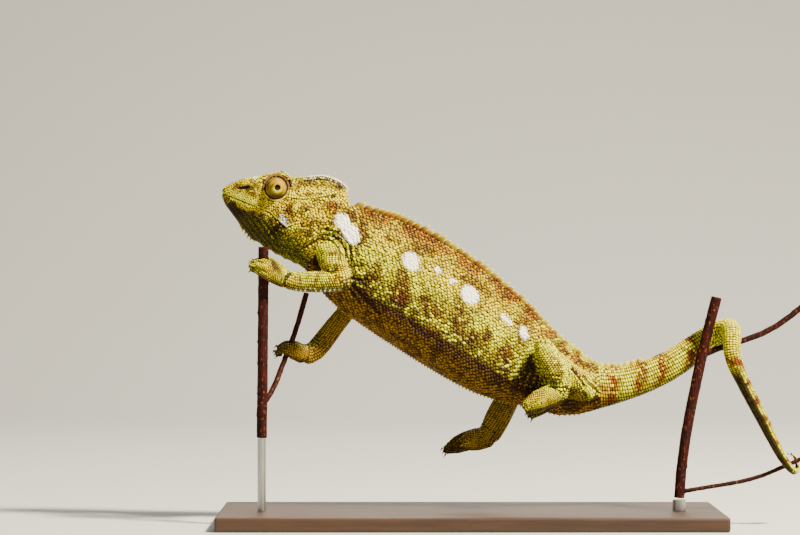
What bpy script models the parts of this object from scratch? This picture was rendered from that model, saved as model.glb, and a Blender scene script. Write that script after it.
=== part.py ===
"""A giant chameleon climbing between two stems, life size, in the pose of a museum model.

Lengths are in millimetres until a mesh is made. +X runs from the snout to the tail, +Z is up, and the
animal's left side faces -Y. The origin is the middle of the underside of the display base.
"""

import math

import bmesh
import bpy
import numpy as np
from mathutils import Matrix, Vector

MM = 0.001
GAP = 0.3  # clearance that touching pieces keep

# Body and tail along their middle line: x, y, z, half depth, half width, how low the flank is widest,
# how sharp the back and the belly are.
BODY = (
    (-67.7, 0.0, 138.4, 19.6, 8.6, 0.05, 0.30),
    (-55.0, 0.0, 128.6, 24.6, 10.4, 0.15, 0.35),
    (-38.0, 0.0, 118.6, 27.3, 12.2, 0.30, 0.40),
    (-21.4, 0.0, 108.6, 28.0, 13.4, 0.40, 0.40),
    (-3.7, 0.0, 96.6, 27.2, 13.6, 0.40, 0.40),
    (16.1, 0.0, 83.0, 24.4, 12.2, 0.30, 0.35),
    (34.0, 0.0, 73.2, 18.8, 9.8, 0.15, 0.30),
    (48.5, 0.0, 66.6, 15.4, 8.4, 0.05, 0.20),
    (61.4, 0.0, 65.6, 10.8, 7.4, 0.0, 0.05),
    (73.4, 0.0, 67.4, 8.7, 7.0, 0.0, 0.0),
    (85.4, 0.0, 71.3, 8.0, 6.6, 0.0, 0.0),
    (98.4, 0.0, 77.7, 7.3, 6.2, 0.0, 0.0),
    (110.4, 0.0, 86.0, 6.7, 5.9, 0.0, 0.0),
    (119.0, -1.2, 91.8, 6.0, 5.6, 0.0, 0.0),
    (123.6, -7.0, 94.0, 5.3, 5.1, 0.0, 0.0),
    (124.2, -14.2, 90.0, 4.9, 4.8, 0.0, 0.0),
    (123.9, -16.6, 83.9, 4.7, 4.5, 0.0, 0.0),
    (125.1, -16.4, 78.4, 4.3, 4.2, 0.0, 0.0),
    (129.0, -15.6, 69.6, 3.7, 3.7, 0.0, 0.0),
    (133.9, -14.6, 60.2, 3.5, 3.5, 0.0, 0.0),
    (139.0, -13.6, 50.6, 3.3, 3.3, 0.0, 0.0),
    (143.9, -13.0, 41.0, 3.0, 3.0, 0.0, 0.0),
    (149.2, -12.8, 31.4, 2.5, 2.5, 0.0, 0.0),
    (152.3, -12.2, 27.2, 2.2, 2.2, 0.0, 0.0),
    (154.9, -9.2, 25.6, 1.8, 1.8, 0.0, 0.0),
    (156.4, -5.4, 27.8, 1.5, 1.5, 0.0, 0.0),
    (155.6, -4.6, 32.0, 1.2, 1.2, 0.0, 0.0),
    (152.8, -5.8, 34.3, 0.85, 0.85, 0.0, 0.0),
    (150.9, -7.0, 34.2, 0.5, 0.5, 0.0, 0.0),
)
BODY_SIDES = 20
TAIL_SIDES = 12

# Names of the lengths, and how far along the body (station number) each one ends.
LENGTHS = (
    ("neck", 1.0),
    ("trunk", 5.6),
    ("hips", 8.0),
    ("tail_1", 10.0),
    ("tail_2", 12.0),
    ("tail_3", 13.5),
    ("tail_4", 15.5),
    ("tail_5", 18.0),
    ("tail_6", 21.0),
    ("tail_7", 23.0),
    ("tail_8", 25.0),
    ("tail_tip", 28.0),
)

# Head in upright sections from the snout to the back of the casque: x, top, height of the widest
# place, bottom, half width, squareness above and below.
HEAD = (
    (-119.2, 160.0, 158.4, 156.6, 1.9, 0.8, 0.9),
    (-117.8, 161.9, 157.5, 153.0, 3.5, 0.7, 0.9),
    (-113.8, 164.3, 156.5, 147.8, 5.2, 0.65, 0.95),
    (-109.4, 165.9, 155.5, 141.8, 6.6, 0.65, 1.0),
    (-103.6, 167.0, 154.0, 135.9, 8.2, 0.7, 1.05),
    (-97.4, 168.2, 152.5, 131.7, 9.5, 0.8, 1.1),
    (-92.0, 169.6, 150.3, 128.6, 10.4, 0.9, 1.15),
    (-88.0, 169.0, 148.8, 126.6, 10.9, 1.0, 1.15),
    (-84.5, 166.6, 147.5, 125.0, 11.2, 1.1, 1.15),
    (-78.0, 166.7, 146.0, 121.6, 11.3, 1.2, 1.1),
    (-71.0, 167.6, 145.0, 117.5, 10.8, 1.25, 1.1),
    (-64.5, 166.1, 145.0, 113.0, 9.8, 1.3, 1.1),
    (-60.6, 163.7, 144.5, 111.0, 8.6, 1.3, 1.1),
    (-58.2, 160.6, 144.0, 110.0, 7.4, 1.3, 1.1),
)
HEAD_SIDES = 20
MOUTH = ((-124.0, 161.0), (-104.2, 152.7), (-95.8, 149.2), (-92.8, 146.0), (-87.4, 141.2), (-83.0, 118.0))

EYE = (-91.9, 161.1)  # x and z of both eyes
TURRET = (-92.8, 161.2)  # x and z of the turrets that carry them
TURRET_RADIUS = 5.3
TURRET_LENGTH = 6.2
TURRET_ROOT = 8.0  # from the middle of the head
EYEBALL_RADIUS = 2.1
EYEBALL_OUT = 12.2  # from the middle of the head

CREST_STEP = 3.3
CREST_HEIGHT = 1.3
CREST_RADIUS = 0.8

# Legs: name of the piece and its stations x, y, z, half height, half depth.
LEFT_FORELEG = (
    ("foreleg_left_upper", (
        (-68.5, -5.0, 131.5, 7.6, 6.5), (-66.5, -11.0, 127.5, 7.2, 6.2),
        (-63.0, -15.5, 121.5, 5.8, 5.2), (-60.6, -17.2, 117.0, 4.6, 4.5))),
    ("foreleg_left_lower", (
        (-59.6, -17.4, 116.8, 5.0, 4.4), (-66.0, -17.6, 116.6, 5.4, 4.6),
        (-74.0, -17.2, 116.3, 5.5, 4.5), (-82.0, -16.6, 116.3, 5.1, 4.1),
        (-87.0, -16.2, 117.1, 4.8, 3.7))),
    ("forefoot_left_inner", (
        (-88.6, -16.8, 117.6, 4.8, 3.2), (-92.6, -19.0, 119.6, 5.1, 3.2),
        (-97.6, -20.4, 122.9, 5.0, 3.1), (-101.8, -19.6, 124.0, 4.4, 2.8),
        (-104.2, -17.8, 123.8, 3.1, 2.1))),
    ("forefoot_left_outer", (
        (-87.2, -13.0, 118.6, 3.3, 3.0), (-91.2, -9.6, 122.7, 2.8, 2.8),
        (-95.6, -7.7, 126.2, 2.4, 2.6), (-99.8, -6.8, 127.2, 2.2, 2.4),
        (-103.0, -8.0, 126.0, 1.6, 1.8))),
)
RIGHT_FORELEG = (
    ("foreleg_right_upper", (
        (-62.0, 5.0, 125.0, 7.4, 6.4), (-61.0, 11.0, 119.0, 6.8, 6.0),
        (-59.6, 13.6, 109.5, 5.4, 5.0), (-58.8, 13.8, 102.6, 4.7, 4.5))),
    ("foreleg_right_lower", (
        (-59.6, 13.6, 101.6, 4.9, 4.5), (-65.2, 12.0, 94.8, 5.1, 4.5),
        (-70.0, 10.0, 88.4, 5.4, 4.4), (-74.4, 8.0, 83.2, 5.4, 4.1),
        (-78.6, 6.2, 80.7, 5.1, 3.7))),
    ("forefoot_right_inner", (
        (-80.2, 3.8, 81.0, 4.9, 3.0), (-83.6, 1.0, 82.7, 4.7, 2.9),
        (-87.4, -0.3, 83.3, 4.4, 2.7), (-91.0, 0.6, 82.7, 3.4, 2.3),
        (-93.2, 2.4, 81.9, 2.1, 1.6))),
    ("forefoot_right_outer", (
        (-80.8, 8.2, 82.9, 3.8, 2.6), (-85.2, 9.2, 85.2, 3.4, 2.6),
        (-89.3, 9.0, 85.6, 2.8, 2.4), (-92.4, 7.4, 84.4, 1.8, 1.7))),
)
LEFT_HINDLEG = (
    ("hindleg_left_upper", (
        (57.0, -2.5, 64.8, 8.4, 6.5), (50.6, -7.5, 67.6, 7.8, 6.4),
        (44.0, -10.6, 73.4, 6.8, 5.8), (38.2, -12.4, 80.4, 5.4, 5.0),
        (34.4, -13.4, 85.2, 4.2, 4.2))),
    ("hindleg_left_lower", (
        (33.4, -15.2, 85.8, 4.0, 4.0), (36.0, -17.0, 80.4, 4.5, 4.4),
        (39.4, -17.8, 73.8, 5.4, 4.8), (42.6, -17.6, 66.4, 5.6, 4.6))),
    ("hindfoot_left_outer", (
        (43.0, -18.4, 64.6, 5.4, 3.5), (38.4, -19.0, 62.6, 5.7, 3.4),
        (33.6, -19.4, 60.8, 5.7, 3.4), (29.4, -19.4, 58.7, 5.2, 3.2),
        (26.4, -18.8, 56.6, 3.7, 2.5))),
    ("hindfoot_left_inner", (
        (42.4, -12.0, 63.0, 4.4, 3.0), (37.0, -12.0, 59.2, 4.6, 3.0),
        (31.8, -12.2, 55.8, 4.3, 2.9), (28.4, -12.6, 52.8, 2.8, 2.2))),
)
RIGHT_HINDLEG = (
    ("hindleg_right_upper", (
        (56.0, 2.5, 64.8, 8.2, 6.5), (46.0, 8.4, 67.4, 7.6, 6.4),
        (34.0, 12.2, 69.0, 6.6, 6.0), (24.5, 13.6, 67.6, 5.6, 5.4))),
    ("hindleg_right_lower", (
        (22.8, 13.8, 66.6, 5.6, 5.2), (18.0, 13.4, 58.6, 6.4, 5.4),
        (13.5, 12.8, 49.9, 6.6, 5.3), (10.0, 12.2, 42.8, 6.0, 4.7))),
    ("hindfoot_right_outer", (
        (9.6, 9.0, 41.3, 5.3, 2.9), (4.8, 8.4, 40.1, 5.8, 2.9),
        (-0.4, 7.8, 39.2, 5.3, 2.8), (-4.0, 8.2, 37.9, 3.4, 2.2))),
    ("hindfoot_right_inner", (
        (9.0, 15.0, 41.0, 5.2, 2.9), (2.0, 15.0, 40.2, 5.6, 2.9),
        (-4.4, 14.4, 37.8, 5.1, 2.8), (-9.2, 13.6, 35.8, 3.9, 2.4),
        (-11.8, 13.2, 34.4, 2.4, 1.8))),
)
LEG_SIDES = 10
CLAW_LENGTH = 1.6
CLAW_RADIUS = 0.55

# Stems: middle line and radius. Each fork starts inside the stem that carries it and is cut to meet it.
FRONT_STEM = ((-98.6, -13.0, 133.0), (-98.7, -13.0, 110.0), (-98.9, -13.0, 80.0), (-99.4, -13.0, 42.0))
FRONT_STEM_RADIUS = 2.6
FRONT_FORK = (
    (-99.2, -13.0, 57.0), (-97.0, -11.6, 60.2), (-93.8, -8.0, 66.0), (-89.5, -1.0, 77.5),
    (-86.0, 4.4, 86.6), (-82.6, 5.6, 97.0), (-78.6, 6.0, 111.0),
)
FRONT_FORK_RADIUS = 1.4
REAR_STEM = (
    (117.4, -9.6, 109.0), (114.4, -9.6, 97.5), (110.0, -9.6, 79.0), (105.6, -9.6, 58.7),
    (102.4, -9.6, 40.8), (100.3, -9.6, 24.0), (99.6, -9.6, 17.0), (99.5, -9.6, 13.2),
)
REAR_STEM_RADIUS = 2.6
REAR_BRANCH = (
    (110.6, -9.6, 81.2), (114.6, -9.0, 83.2), (120.1, -8.2, 84.9), (128.7, -8.0, 87.8),
    (138.3, -8.0, 91.1), (148.3, -8.0, 96.6), (158.6, -8.0, 104.6),
)
REAR_BRANCH_RADIUS = 1.5
REAR_TWIG = (
    (100.2, -9.6, 16.2), (116.0, -9.0, 18.8), (129.0, -8.7, 21.0), (138.8, -8.6, 23.6),
    (147.4, -8.6, 27.2), (154.9, -8.6, 30.5), (160.5, -8.6, 33.0),
)
REAR_TWIG_RADIUS = 1.1

# Display stand
BASE = (240.0, 100.0, 7.0)
BASE_EDGE = 1.2
FRONT_ROD_RADIUS = 2.0
REAR_ROD_RADIUS = 3.2

SCALY = (0.52, 0.50, 0.15, 1.0)
HORN = (0.11, 0.05, 0.03, 1.0)
BARK = (0.19, 0.05, 0.04, 1.0)

for old in list(bpy.data.objects):
    bpy.data.objects.remove(old, do_unlink=True)

parts = bpy.data.collections.new("chameleon")
cutters = bpy.data.collections.new("cutters")
bpy.context.scene.collection.children.link(parts)
bpy.context.scene.collection.children.link(cutters)


def material(name, colour, roughness, metallic=0.0):
    """A plain material for one piece."""
    made = bpy.data.materials.new(name)
    made.use_nodes = True
    shader = made.node_tree.nodes["Principled BSDF"]
    shader.inputs["Base Color"].default_value = colour
    shader.inputs["Roughness"].default_value = roughness
    shader.inputs["Metallic"].default_value = metallic
    return made


def piece(name, bm, colour=SCALY, roughness=0.65, metallic=0.0, smooth=True):
    """Makes the object of a finished bmesh whose lengths are in millimetres."""
    bmesh.ops.scale(bm, vec=(MM, MM, MM), verts=bm.verts)
    bmesh.ops.recalc_face_normals(bm, faces=bm.faces)
    mesh = bpy.data.meshes.new(name)
    bm.to_mesh(mesh)
    bm.free()
    if smooth:
        mesh.shade_smooth()
        mesh.set_sharp_from_angle(angle=math.radians(50))
    made = bpy.data.objects.new(name, mesh)
    mesh.materials.append(material(name, colour, roughness, metallic))
    parts.objects.link(made)
    return made


def cutter(name, bm):
    """Makes a helper object that is never shown."""
    made = piece(name, bm, smooth=False)
    parts.objects.unlink(made)
    cutters.objects.link(made)
    made.hide_render = True
    made.display_type = "WIRE"
    return made


def combine(target, other, operation="DIFFERENCE"):
    """Cuts a piece with another, or joins them."""
    change = target.modifiers.new(operation.lower() + "_" + other.name, "BOOLEAN")
    change.operation = operation
    change.solver = "EXACT"
    change.object = other


class Course:
    """A smooth line through stations whose first three numbers are a place and the rest are sizes."""

    def __init__(self, stations):
        self.rows = np.array(stations, float)
        steps = np.linalg.norm(np.diff(self.rows[:, :3], axis=0), axis=1)
        self.marks = np.concatenate(([0.0], np.cumsum(steps)))
        self.slopes = np.gradient(self.rows, self.marks, axis=0)

    def row(self, along):
        """Place and sizes at a distance along the line."""
        last = len(self.marks) - 2
        i = int(np.clip(np.searchsorted(self.marks, along) - 1, 0, last))
        span = self.marks[i + 1] - self.marks[i]
        t = min(max((along - self.marks[i]) / span, 0.0), 1.0)
        start = (1 + 2 * t) * (1 - t) ** 2 * self.rows[i] + t * (1 - t) ** 2 * span * self.slopes[i]
        end = t * t * (3 - 2 * t) * self.rows[i + 1] + t * t * (t - 1) * span * self.slopes[i + 1]
        return start + end

    def mark(self, station):
        """Distance along the line of a station number, which may have a fraction."""
        return float(np.interp(station, range(len(self.marks)), self.marks))

    def heading(self, along):
        ahead = self.row(along + 0.05)[:3] - self.row(along - 0.05)[:3]
        return Vector(ahead).normalized()

    def side(self, along):
        """The sideways direction, carried along the line from its start without twist."""
        across = Vector((0.0, 1.0, 0.0))
        steps = max(int(along / 2.0), 1)
        for step in range(steps + 1):
            ahead = self.heading(along * step / steps)
            across = (across - ahead * across.dot(ahead)).normalized()
        return across


def body_ring(course, along, sides, grow=0.0):
    """One cross section of the body: widest low on the flank, with a ridged back and a keeled belly."""
    x, y, z, depth, width, low, ridge = course.row(along)
    side = course.side(along)
    up = course.heading(along).cross(side)
    ring = []
    for i in range(sides):
        turn = math.pi * (2 * i / sides - 1)
        bent = abs(turn) - low * math.sin(abs(turn))
        out = math.copysign(math.sin(bent) ** (1 + ridge), turn)
        place = Vector((x, y, z)) + up * ((depth + grow) * math.cos(turn))
        ring.append(place + side * ((width + grow) * out))
    return ring


def loft(rings):
    """A closed solid through rings of equal count."""
    bm = bmesh.new()
    loops = [[bm.verts.new(place) for place in ring] for ring in rings]
    count = len(loops[0])
    for one, two in zip(loops, loops[1:]):
        for i in range(count):
            bm.faces.new((one[i], one[i - 1], two[i - 1], two[i]))
    bm.faces.new(loops[0])
    bm.faces.new(loops[-1][::-1])
    return bm


def cone(bm, foot, tip, radius, sides=4):
    """Adds a small spike that stands from foot to tip."""
    axis = Vector(tip) - Vector(foot)
    turn = axis.to_track_quat("Z", "Y").to_matrix().to_4x4()
    middle = (Vector(foot) + Vector(tip)) / 2
    bmesh.ops.create_cone(
        bm, cap_ends=True, segments=sides, radius1=radius, radius2=0.0,
        depth=axis.length, matrix=Matrix.Translation(middle) @ turn,
    )


body = Course(BODY)


def body_length(start, end, sides, step, grow=0.0):
    """The body between two distances along it, as rings."""
    count = max(int(round((end - start) / step)), 2)
    return [body_ring(body, start + (end - start) * i / count, sides, grow) for i in range(count + 1)]


# Neck, trunk, hips and tail: one course, parted by thin gaps.
flesh = {}
start = 0.0
for name, station in LENGTHS:
    end = body.mark(station)
    tail = name.startswith("tail")
    sides = TAIL_SIDES if tail else BODY_SIDES
    step = 4.5 if tail else 7.0
    if 12 < station < 16 or station > 22:
        step = 2.6
    flesh[name] = piece(name, loft(body_length(start + GAP / 2, end - GAP / 2, sides, step)))
    start = end

# The crest of small cones that runs down the back onto the root of the tail.
for name, station in LENGTHS[:4]:
    index = [entry[0] for entry in LENGTHS].index(name)
    low = body.mark(LENGTHS[index - 1][1]) if index else 0.0
    high = body.mark(station)
    count = int((high - low - 1.0) / CREST_STEP)
    spikes = bmesh.new()
    for i in range(count):
        along = low + (high - low) * (i + 0.5) / count
        x, y, z, depth = body.row(along)[:4]
        up = body.heading(along).cross(body.side(along))
        fade = 1.0 - 0.45 * along / body.mark(10.0)
        foot = Vector((x, y, z)) + up * (depth - 0.9)
        cone(spikes, foot, foot + up * (0.9 + CREST_HEIGHT * fade), CREST_RADIUS)
    combine(flesh[name], cutter(name + "_crest", spikes), "UNION")


def head_ring(x, top, middle, bottom, width, above, below, grow=0.0):
    """One upright cross section of the head."""
    ring = []
    for i in range(HEAD_SIDES):
        turn = math.pi * (2 * i / HEAD_SIDES - 1)
        rise = math.cos(turn)
        power = above if rise > 0 else below
        height = (top + grow - middle) * rise if rise > 0 else (middle - bottom + grow) * rise
        out = math.copysign(abs(math.sin(turn)) ** power, turn) * (width + grow)
        ring.append(Vector((x, out, middle + height)))
    return ring


def whole_head(grow=0.0):
    """The head with jaw and casque, ending square behind the casque."""
    table = np.array(HEAD)
    spots = table[:, 0]
    slopes = np.gradient(table, spots, axis=0)
    rings = []
    for i in range(len(HEAD) - 1):
        span = spots[i + 1] - spots[i]
        parts_here = 2 if 4.5 < span < 8 else 1
        for j in range(parts_here):
            t = j / parts_here
            row = (1 + 2 * t) * (1 - t) ** 2 * table[i] + t * (1 - t) ** 2 * span * slopes[i]
            row = row + t * t * (3 - 2 * t) * table[i + 1] + t * t * (t - 1) * span * slopes[i + 1]
            rings.append(head_ring(*row, grow=grow))
    rings.append(head_ring(*table[-1], grow=grow))
    return loft(rings)


def behind_neck(bm, slack):
    """Cuts away what lies behind the slanting joint between head and neck."""
    place = Vector(BODY[0][:3]) - body.heading(0.06) * slack
    everything = bm.verts[:] + bm.edges[:] + bm.faces[:]
    cut = bmesh.ops.bisect_plane(
        bm, geom=everything, plane_co=place, plane_no=body.heading(0.06), clear_outer=True,
    )
    edges = [e for e in cut["geom_cut"] if isinstance(e, bmesh.types.BMEdge)]
    bmesh.ops.contextual_create(bm, geom=edges)
    return bm


def mouth_prism(name, shift):
    """The space below the mouth line, moved up and back by a shift."""
    bm = bmesh.new()
    outline = list(MOUTH) + [(-124.0, 118.0)]
    near = [bm.verts.new((x + shift, -20.0, z + shift)) for x, z in outline]
    face = bm.faces.new(near)
    grown = bmesh.ops.extrude_face_region(bm, geom=[face])
    moved = [v for v in grown["geom"] if isinstance(v, bmesh.types.BMVert)]
    bmesh.ops.translate(bm, verts=moved, vec=(0.0, 40.0, 0.0))
    return cutter(name, bm)


def ball(radius, place, stretch=1.0, rings=7, segments=12):
    """A sphere, stretched sideways."""
    bm = bmesh.new()
    bmesh.ops.create_uvsphere(bm, u_segments=segments, v_segments=rings, radius=radius)
    bmesh.ops.rotate(bm, verts=bm.verts, matrix=Matrix.Rotation(math.pi / 2, 3, "X"))
    bmesh.ops.scale(bm, vec=(1.0, stretch, 1.0), verts=bm.verts)
    bmesh.ops.translate(bm, verts=bm.verts, vec=place)
    return bm


# Head and lower jaw, parted along the mouth, with an eye turret on each side.
head = piece("head", behind_neck(whole_head(), GAP / 2))
jaw = piece("lower_jaw", behind_neck(whole_head(), GAP / 2))
combine(head, mouth_prism("mouth_above", GAP))
combine(jaw, mouth_prism("mouth_below", 0.0), "INTERSECT")
for label, hand in (("left", -1.0), ("right", 1.0)):
    turret = ball(TURRET_RADIUS, (TURRET[0], hand * TURRET_ROOT, TURRET[1]), TURRET_LENGTH / TURRET_RADIUS)
    combine(head, cutter("turret_" + label, turret), "UNION")
    spot = (EYE[0], hand * EYEBALL_OUT, EYE[1])
    combine(head, cutter("socket_" + label, ball(EYEBALL_RADIUS + GAP, spot)))
    piece("eye_" + label, ball(EYEBALL_RADIUS, spot), (0.03, 0.02, 0.01, 1.0), 0.15)

# A short row of spines under the chin.
chin = bmesh.new()
for i in range(6):
    foot = Vector((-111.2 + 1.35 * i, 0.0, 144.9 - 1.5 * i))
    cone(chin, foot, foot + Vector((-0.8, 0.0, -1.8)), 0.7)
combine(jaw, cutter("chin_crest", chin), "UNION")


def limb_rings(stations, grow=0.0):
    """Rings of one piece of a leg, with rounded ends."""
    course = Course(stations)
    length = course.marks[-1]
    turns = [math.radians(a) for a in (68, 34)]
    first, last = course.rows[0], course.rows[-1]
    spots = [(-min(first[3], first[4]) * 0.9 * math.sin(a), math.cos(a)) for a in turns]
    middle = max(int(length / 4.8), 3)
    spots += [(length * i / middle, 1.0) for i in range(middle + 1)]
    spots += [(length + min(last[3], last[4]) * 0.9 * math.sin(a), math.cos(a)) for a in turns[::-1]]
    rings = []
    for along, share in spots:
        row = course.row(min(max(along, 0.0), length))
        ahead = course.heading(min(max(along, 0.06), length - 0.06))
        beyond = along if along < 0 else max(along - length, 0.0)
        beyond += math.copysign(grow, beyond) if beyond else 0.0
        place = Vector(row[:3]) + ahead * beyond
        side = Vector((0.0, 1.0, 0.0))
        side = (side - ahead * side.dot(ahead)).normalized()
        up = ahead.cross(side)
        high, wide = (row[3] + grow) * share, (row[4] + grow) * share
        rings.append([
            place + up * (high * math.cos(2 * math.pi * i / LEG_SIDES))
            + side * (wide * math.sin(2 * math.pi * i / LEG_SIDES))
            for i in range(LEG_SIDES)
        ])
    return rings


def grown_body(name, first, last):
    """A copy of the neck, trunk and hips that is larger by the clearance."""
    rings = body_length(body.mark(first), body.mark(last), BODY_SIDES, 7.0, GAP)
    return cutter(name, loft(rings))


def claws(name, stations, count):
    """The claws at the end of a bundle of toes, curved a little by their stacking."""
    course = Course(stations)
    ahead = course.heading(course.marks[-1] - 0.06)
    row = course.rows[-1]
    side = Vector((0.0, 1.0, 0.0))
    side = (side - ahead * side.dot(ahead)).normalized()
    up = ahead.cross(side)
    bm = bmesh.new()
    for i in range(count):
        lift = (i - (count - 1) / 2) * 2 * row[3] * 0.72 / max(count - 1, 1)
        foot = Vector(row[:3]) + up * lift + ahead * min(row[3], row[4]) * 0.35
        cone(bm, foot, foot + ahead * CLAW_LENGTH + Vector((0.0, 0.0, -0.5)), CLAW_RADIUS, 5)
    return cutter(name, bm)


front_body = grown_body("body_grown_front", 0.0, 3.5)
rear_body = grown_body("body_grown_rear", 3.5, 9.0)
head_grown = cutter("head_grown", behind_neck(whole_head(GAP), -GAP))


def leg(pieces, bodies, counts):
    """Builds a leg from the body outwards. Each piece is cut to clear the body and the pieces before it."""
    before = []
    for (name, stations), count in zip(pieces, (0, 0) + counts):
        made = piece(name, loft(limb_rings(stations)))
        if count:
            combine(made, claws(name + "_claws", stations, count), "UNION")
        for other in bodies + before:
            combine(made, other)
        before.append(cutter(name + "_grown", loft(limb_rings(stations, GAP))))
        flesh[name] = made


leg(LEFT_FORELEG, [front_body, head_grown], (3, 2))
leg(RIGHT_FORELEG, [front_body, head_grown], (3, 2))
leg(LEFT_HINDLEG, [rear_body], (2, 3))
leg(RIGHT_HINDLEG, [rear_body], (2, 3))


def stem(name, points, radius, shown=True, resolution=3):
    """A length of woody stem as a welded tube."""
    course = Course(points)
    count = max(int(course.marks[-1] / (5.0 * radius)), 4)
    curve = bpy.data.curves.new(name, "CURVE")
    curve.dimensions = "3D"
    curve.bevel_depth = radius * MM
    curve.bevel_resolution = resolution
    curve.use_fill_caps = True
    line = curve.splines.new("POLY")
    line.points.add(count)
    for i, point in enumerate(line.points):
        point.co = (*(course.row(course.marks[-1] * i / count) * MM), 1.0)
    holder = bpy.data.objects.new(name, curve)
    bpy.context.scene.collection.objects.link(holder)
    bpy.context.view_layer.update()
    mesh = bpy.data.meshes.new_from_object(holder.evaluated_get(bpy.context.evaluated_depsgraph_get()))
    bpy.data.objects.remove(holder, do_unlink=True)
    bm = bmesh.new()
    bm.from_mesh(mesh)
    bpy.data.meshes.remove(mesh)
    bmesh.ops.remove_doubles(bm, verts=bm.verts, dist=0.00001)
    bmesh.ops.scale(bm, vec=(1 / MM, 1 / MM, 1 / MM), verts=bm.verts)
    return piece(name, bm, BARK, 0.7) if shown else cutter(name, bm)


# The perch: two upright stems with their side branches.
front_stem = stem("perch_front_stem", FRONT_STEM, FRONT_STEM_RADIUS)
front_fork = stem("perch_front_fork", FRONT_FORK, FRONT_FORK_RADIUS)
rear_stem = stem("perch_rear_stem", REAR_STEM, REAR_STEM_RADIUS)
rear_branch = stem("perch_rear_branch", REAR_BRANCH, REAR_BRANCH_RADIUS)
rear_twig = stem("perch_rear_twig", REAR_TWIG, REAR_TWIG_RADIUS)

front_space = stem("front_stem_grown", FRONT_STEM, FRONT_STEM_RADIUS + GAP, shown=False)
fork_space = stem("front_fork_grown", FRONT_FORK, FRONT_FORK_RADIUS + GAP, shown=False)
rear_space = stem("rear_stem_grown", REAR_STEM, REAR_STEM_RADIUS + GAP, shown=False)
branch_space = stem("rear_branch_grown", REAR_BRANCH, REAR_BRANCH_RADIUS + GAP, shown=False)
twig_space = stem("rear_twig_grown", REAR_TWIG, REAR_TWIG_RADIUS + GAP, shown=False)

combine(front_fork, front_space)
combine(rear_branch, rear_space)
combine(rear_twig, rear_space)
for name in ("forefoot_left_inner", "forefoot_left_outer"):
    combine(flesh[name], front_space)
for name in ("forefoot_right_inner", "forefoot_right_outer"):
    combine(flesh[name], fork_space)
for name in ("tail_3", "tail_4", "tail_5"):
    combine(flesh[name], branch_space)
for name in ("tail_2", "tail_3"):
    combine(flesh[name], rear_space)
for name in ("tail_6", "tail_7", "tail_8", "tail_tip"):
    combine(flesh[name], twig_space)



def settle(made):
    """Applies a piece's cuts and drops the slivers that they leave beside it."""
    mesh = bpy.data.meshes.new_from_object(made.evaluated_get(bpy.context.evaluated_depsgraph_get()))
    bm = bmesh.new()
    bm.from_mesh(mesh)
    bmesh.ops.dissolve_degenerate(bm, edges=bm.edges, dist=0.000002)
    left, largest = set(bm.faces), []
    while left:
        group, reached = [], [left.pop()]
        while reached:
            face = reached.pop()
            group.append(face)
            near = {other for edge in face.edges for other in edge.link_faces} & left
            left -= near
            reached.extend(near)
        if sum(f.calc_area() for f in group) > sum(f.calc_area() for f in largest):
            largest = group
    kept = set(largest)
    bmesh.ops.delete(bm, geom=[f for f in bm.faces if f not in kept], context="FACES")
    bm.to_mesh(mesh)
    bm.free()
    made.modifiers.clear()
    made.data = mesh


bpy.context.view_layer.update()
for made in flesh.values():
    settle(made)

# The display stand: a flat base with a rod under each stem.
base = bmesh.new()
bmesh.ops.create_cube(base, size=1.0)
bmesh.ops.scale(base, vec=BASE, verts=base.verts)
bmesh.ops.translate(base, verts=base.verts, vec=(0.0, 0.0, BASE[2] / 2))
stand_base = piece("stand_base", base, (0.05, 0.045, 0.04, 1.0), 0.4)
edge = stand_base.modifiers.new("edge", "BEVEL")
edge.width = BASE_EDGE * MM
edge.segments = 2
edge.limit_method = "ANGLE"


def rod(name, foot, radius, bottom, top):
    bm = bmesh.new()
    bmesh.ops.create_cone(
        bm, cap_ends=True, segments=20, radius1=radius, radius2=radius, depth=top - bottom,
        matrix=Matrix.Translation((foot[0], foot[1], (top + bottom) / 2)),
    )
    return piece(name, bm, (0.6, 0.6, 0.6, 1.0), 0.3, 1.0)


rod("stand_rod_front", FRONT_STEM[-1], FRONT_ROD_RADIUS, BASE[2] + GAP, FRONT_STEM[-1][2] - GAP)
rod("stand_rod_rear", REAR_STEM[-1], REAR_ROD_RADIUS, BASE[2] + GAP, REAR_STEM[-1][2] - 0.8)
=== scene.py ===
import math

import bmesh
import bpy
import numpy as np
from mathutils import Matrix, Vector
from mathutils.bvhtree import BVHTree
from mathutils.kdtree import KDTree


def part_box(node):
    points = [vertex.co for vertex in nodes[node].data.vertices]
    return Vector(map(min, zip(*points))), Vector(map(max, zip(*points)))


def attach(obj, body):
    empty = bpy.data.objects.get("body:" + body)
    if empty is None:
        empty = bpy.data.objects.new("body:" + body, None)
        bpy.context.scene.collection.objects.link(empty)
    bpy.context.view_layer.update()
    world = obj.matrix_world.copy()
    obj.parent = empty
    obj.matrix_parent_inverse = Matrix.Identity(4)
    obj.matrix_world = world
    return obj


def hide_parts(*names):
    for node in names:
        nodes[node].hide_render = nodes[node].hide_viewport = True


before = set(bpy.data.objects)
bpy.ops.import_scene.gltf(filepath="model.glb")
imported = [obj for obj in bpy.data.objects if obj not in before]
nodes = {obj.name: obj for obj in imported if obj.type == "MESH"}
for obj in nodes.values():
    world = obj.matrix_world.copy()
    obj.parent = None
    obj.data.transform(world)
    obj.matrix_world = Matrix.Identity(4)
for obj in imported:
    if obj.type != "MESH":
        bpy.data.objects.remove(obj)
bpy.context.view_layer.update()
MM = 0.001


# Studio: a pale sweep of paper that the stand is set on, lit softly from above and a little to the
# right, with a long lens far enough away to keep the animal's proportions.
def paint(red, green, blue):
    """A colour picked on a screen, as the shader wants it."""
    return tuple(((c + 0.055) / 1.055) ** 2.4 if c > 0.04045 else c / 12.92 for c in (red, green, blue))


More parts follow.
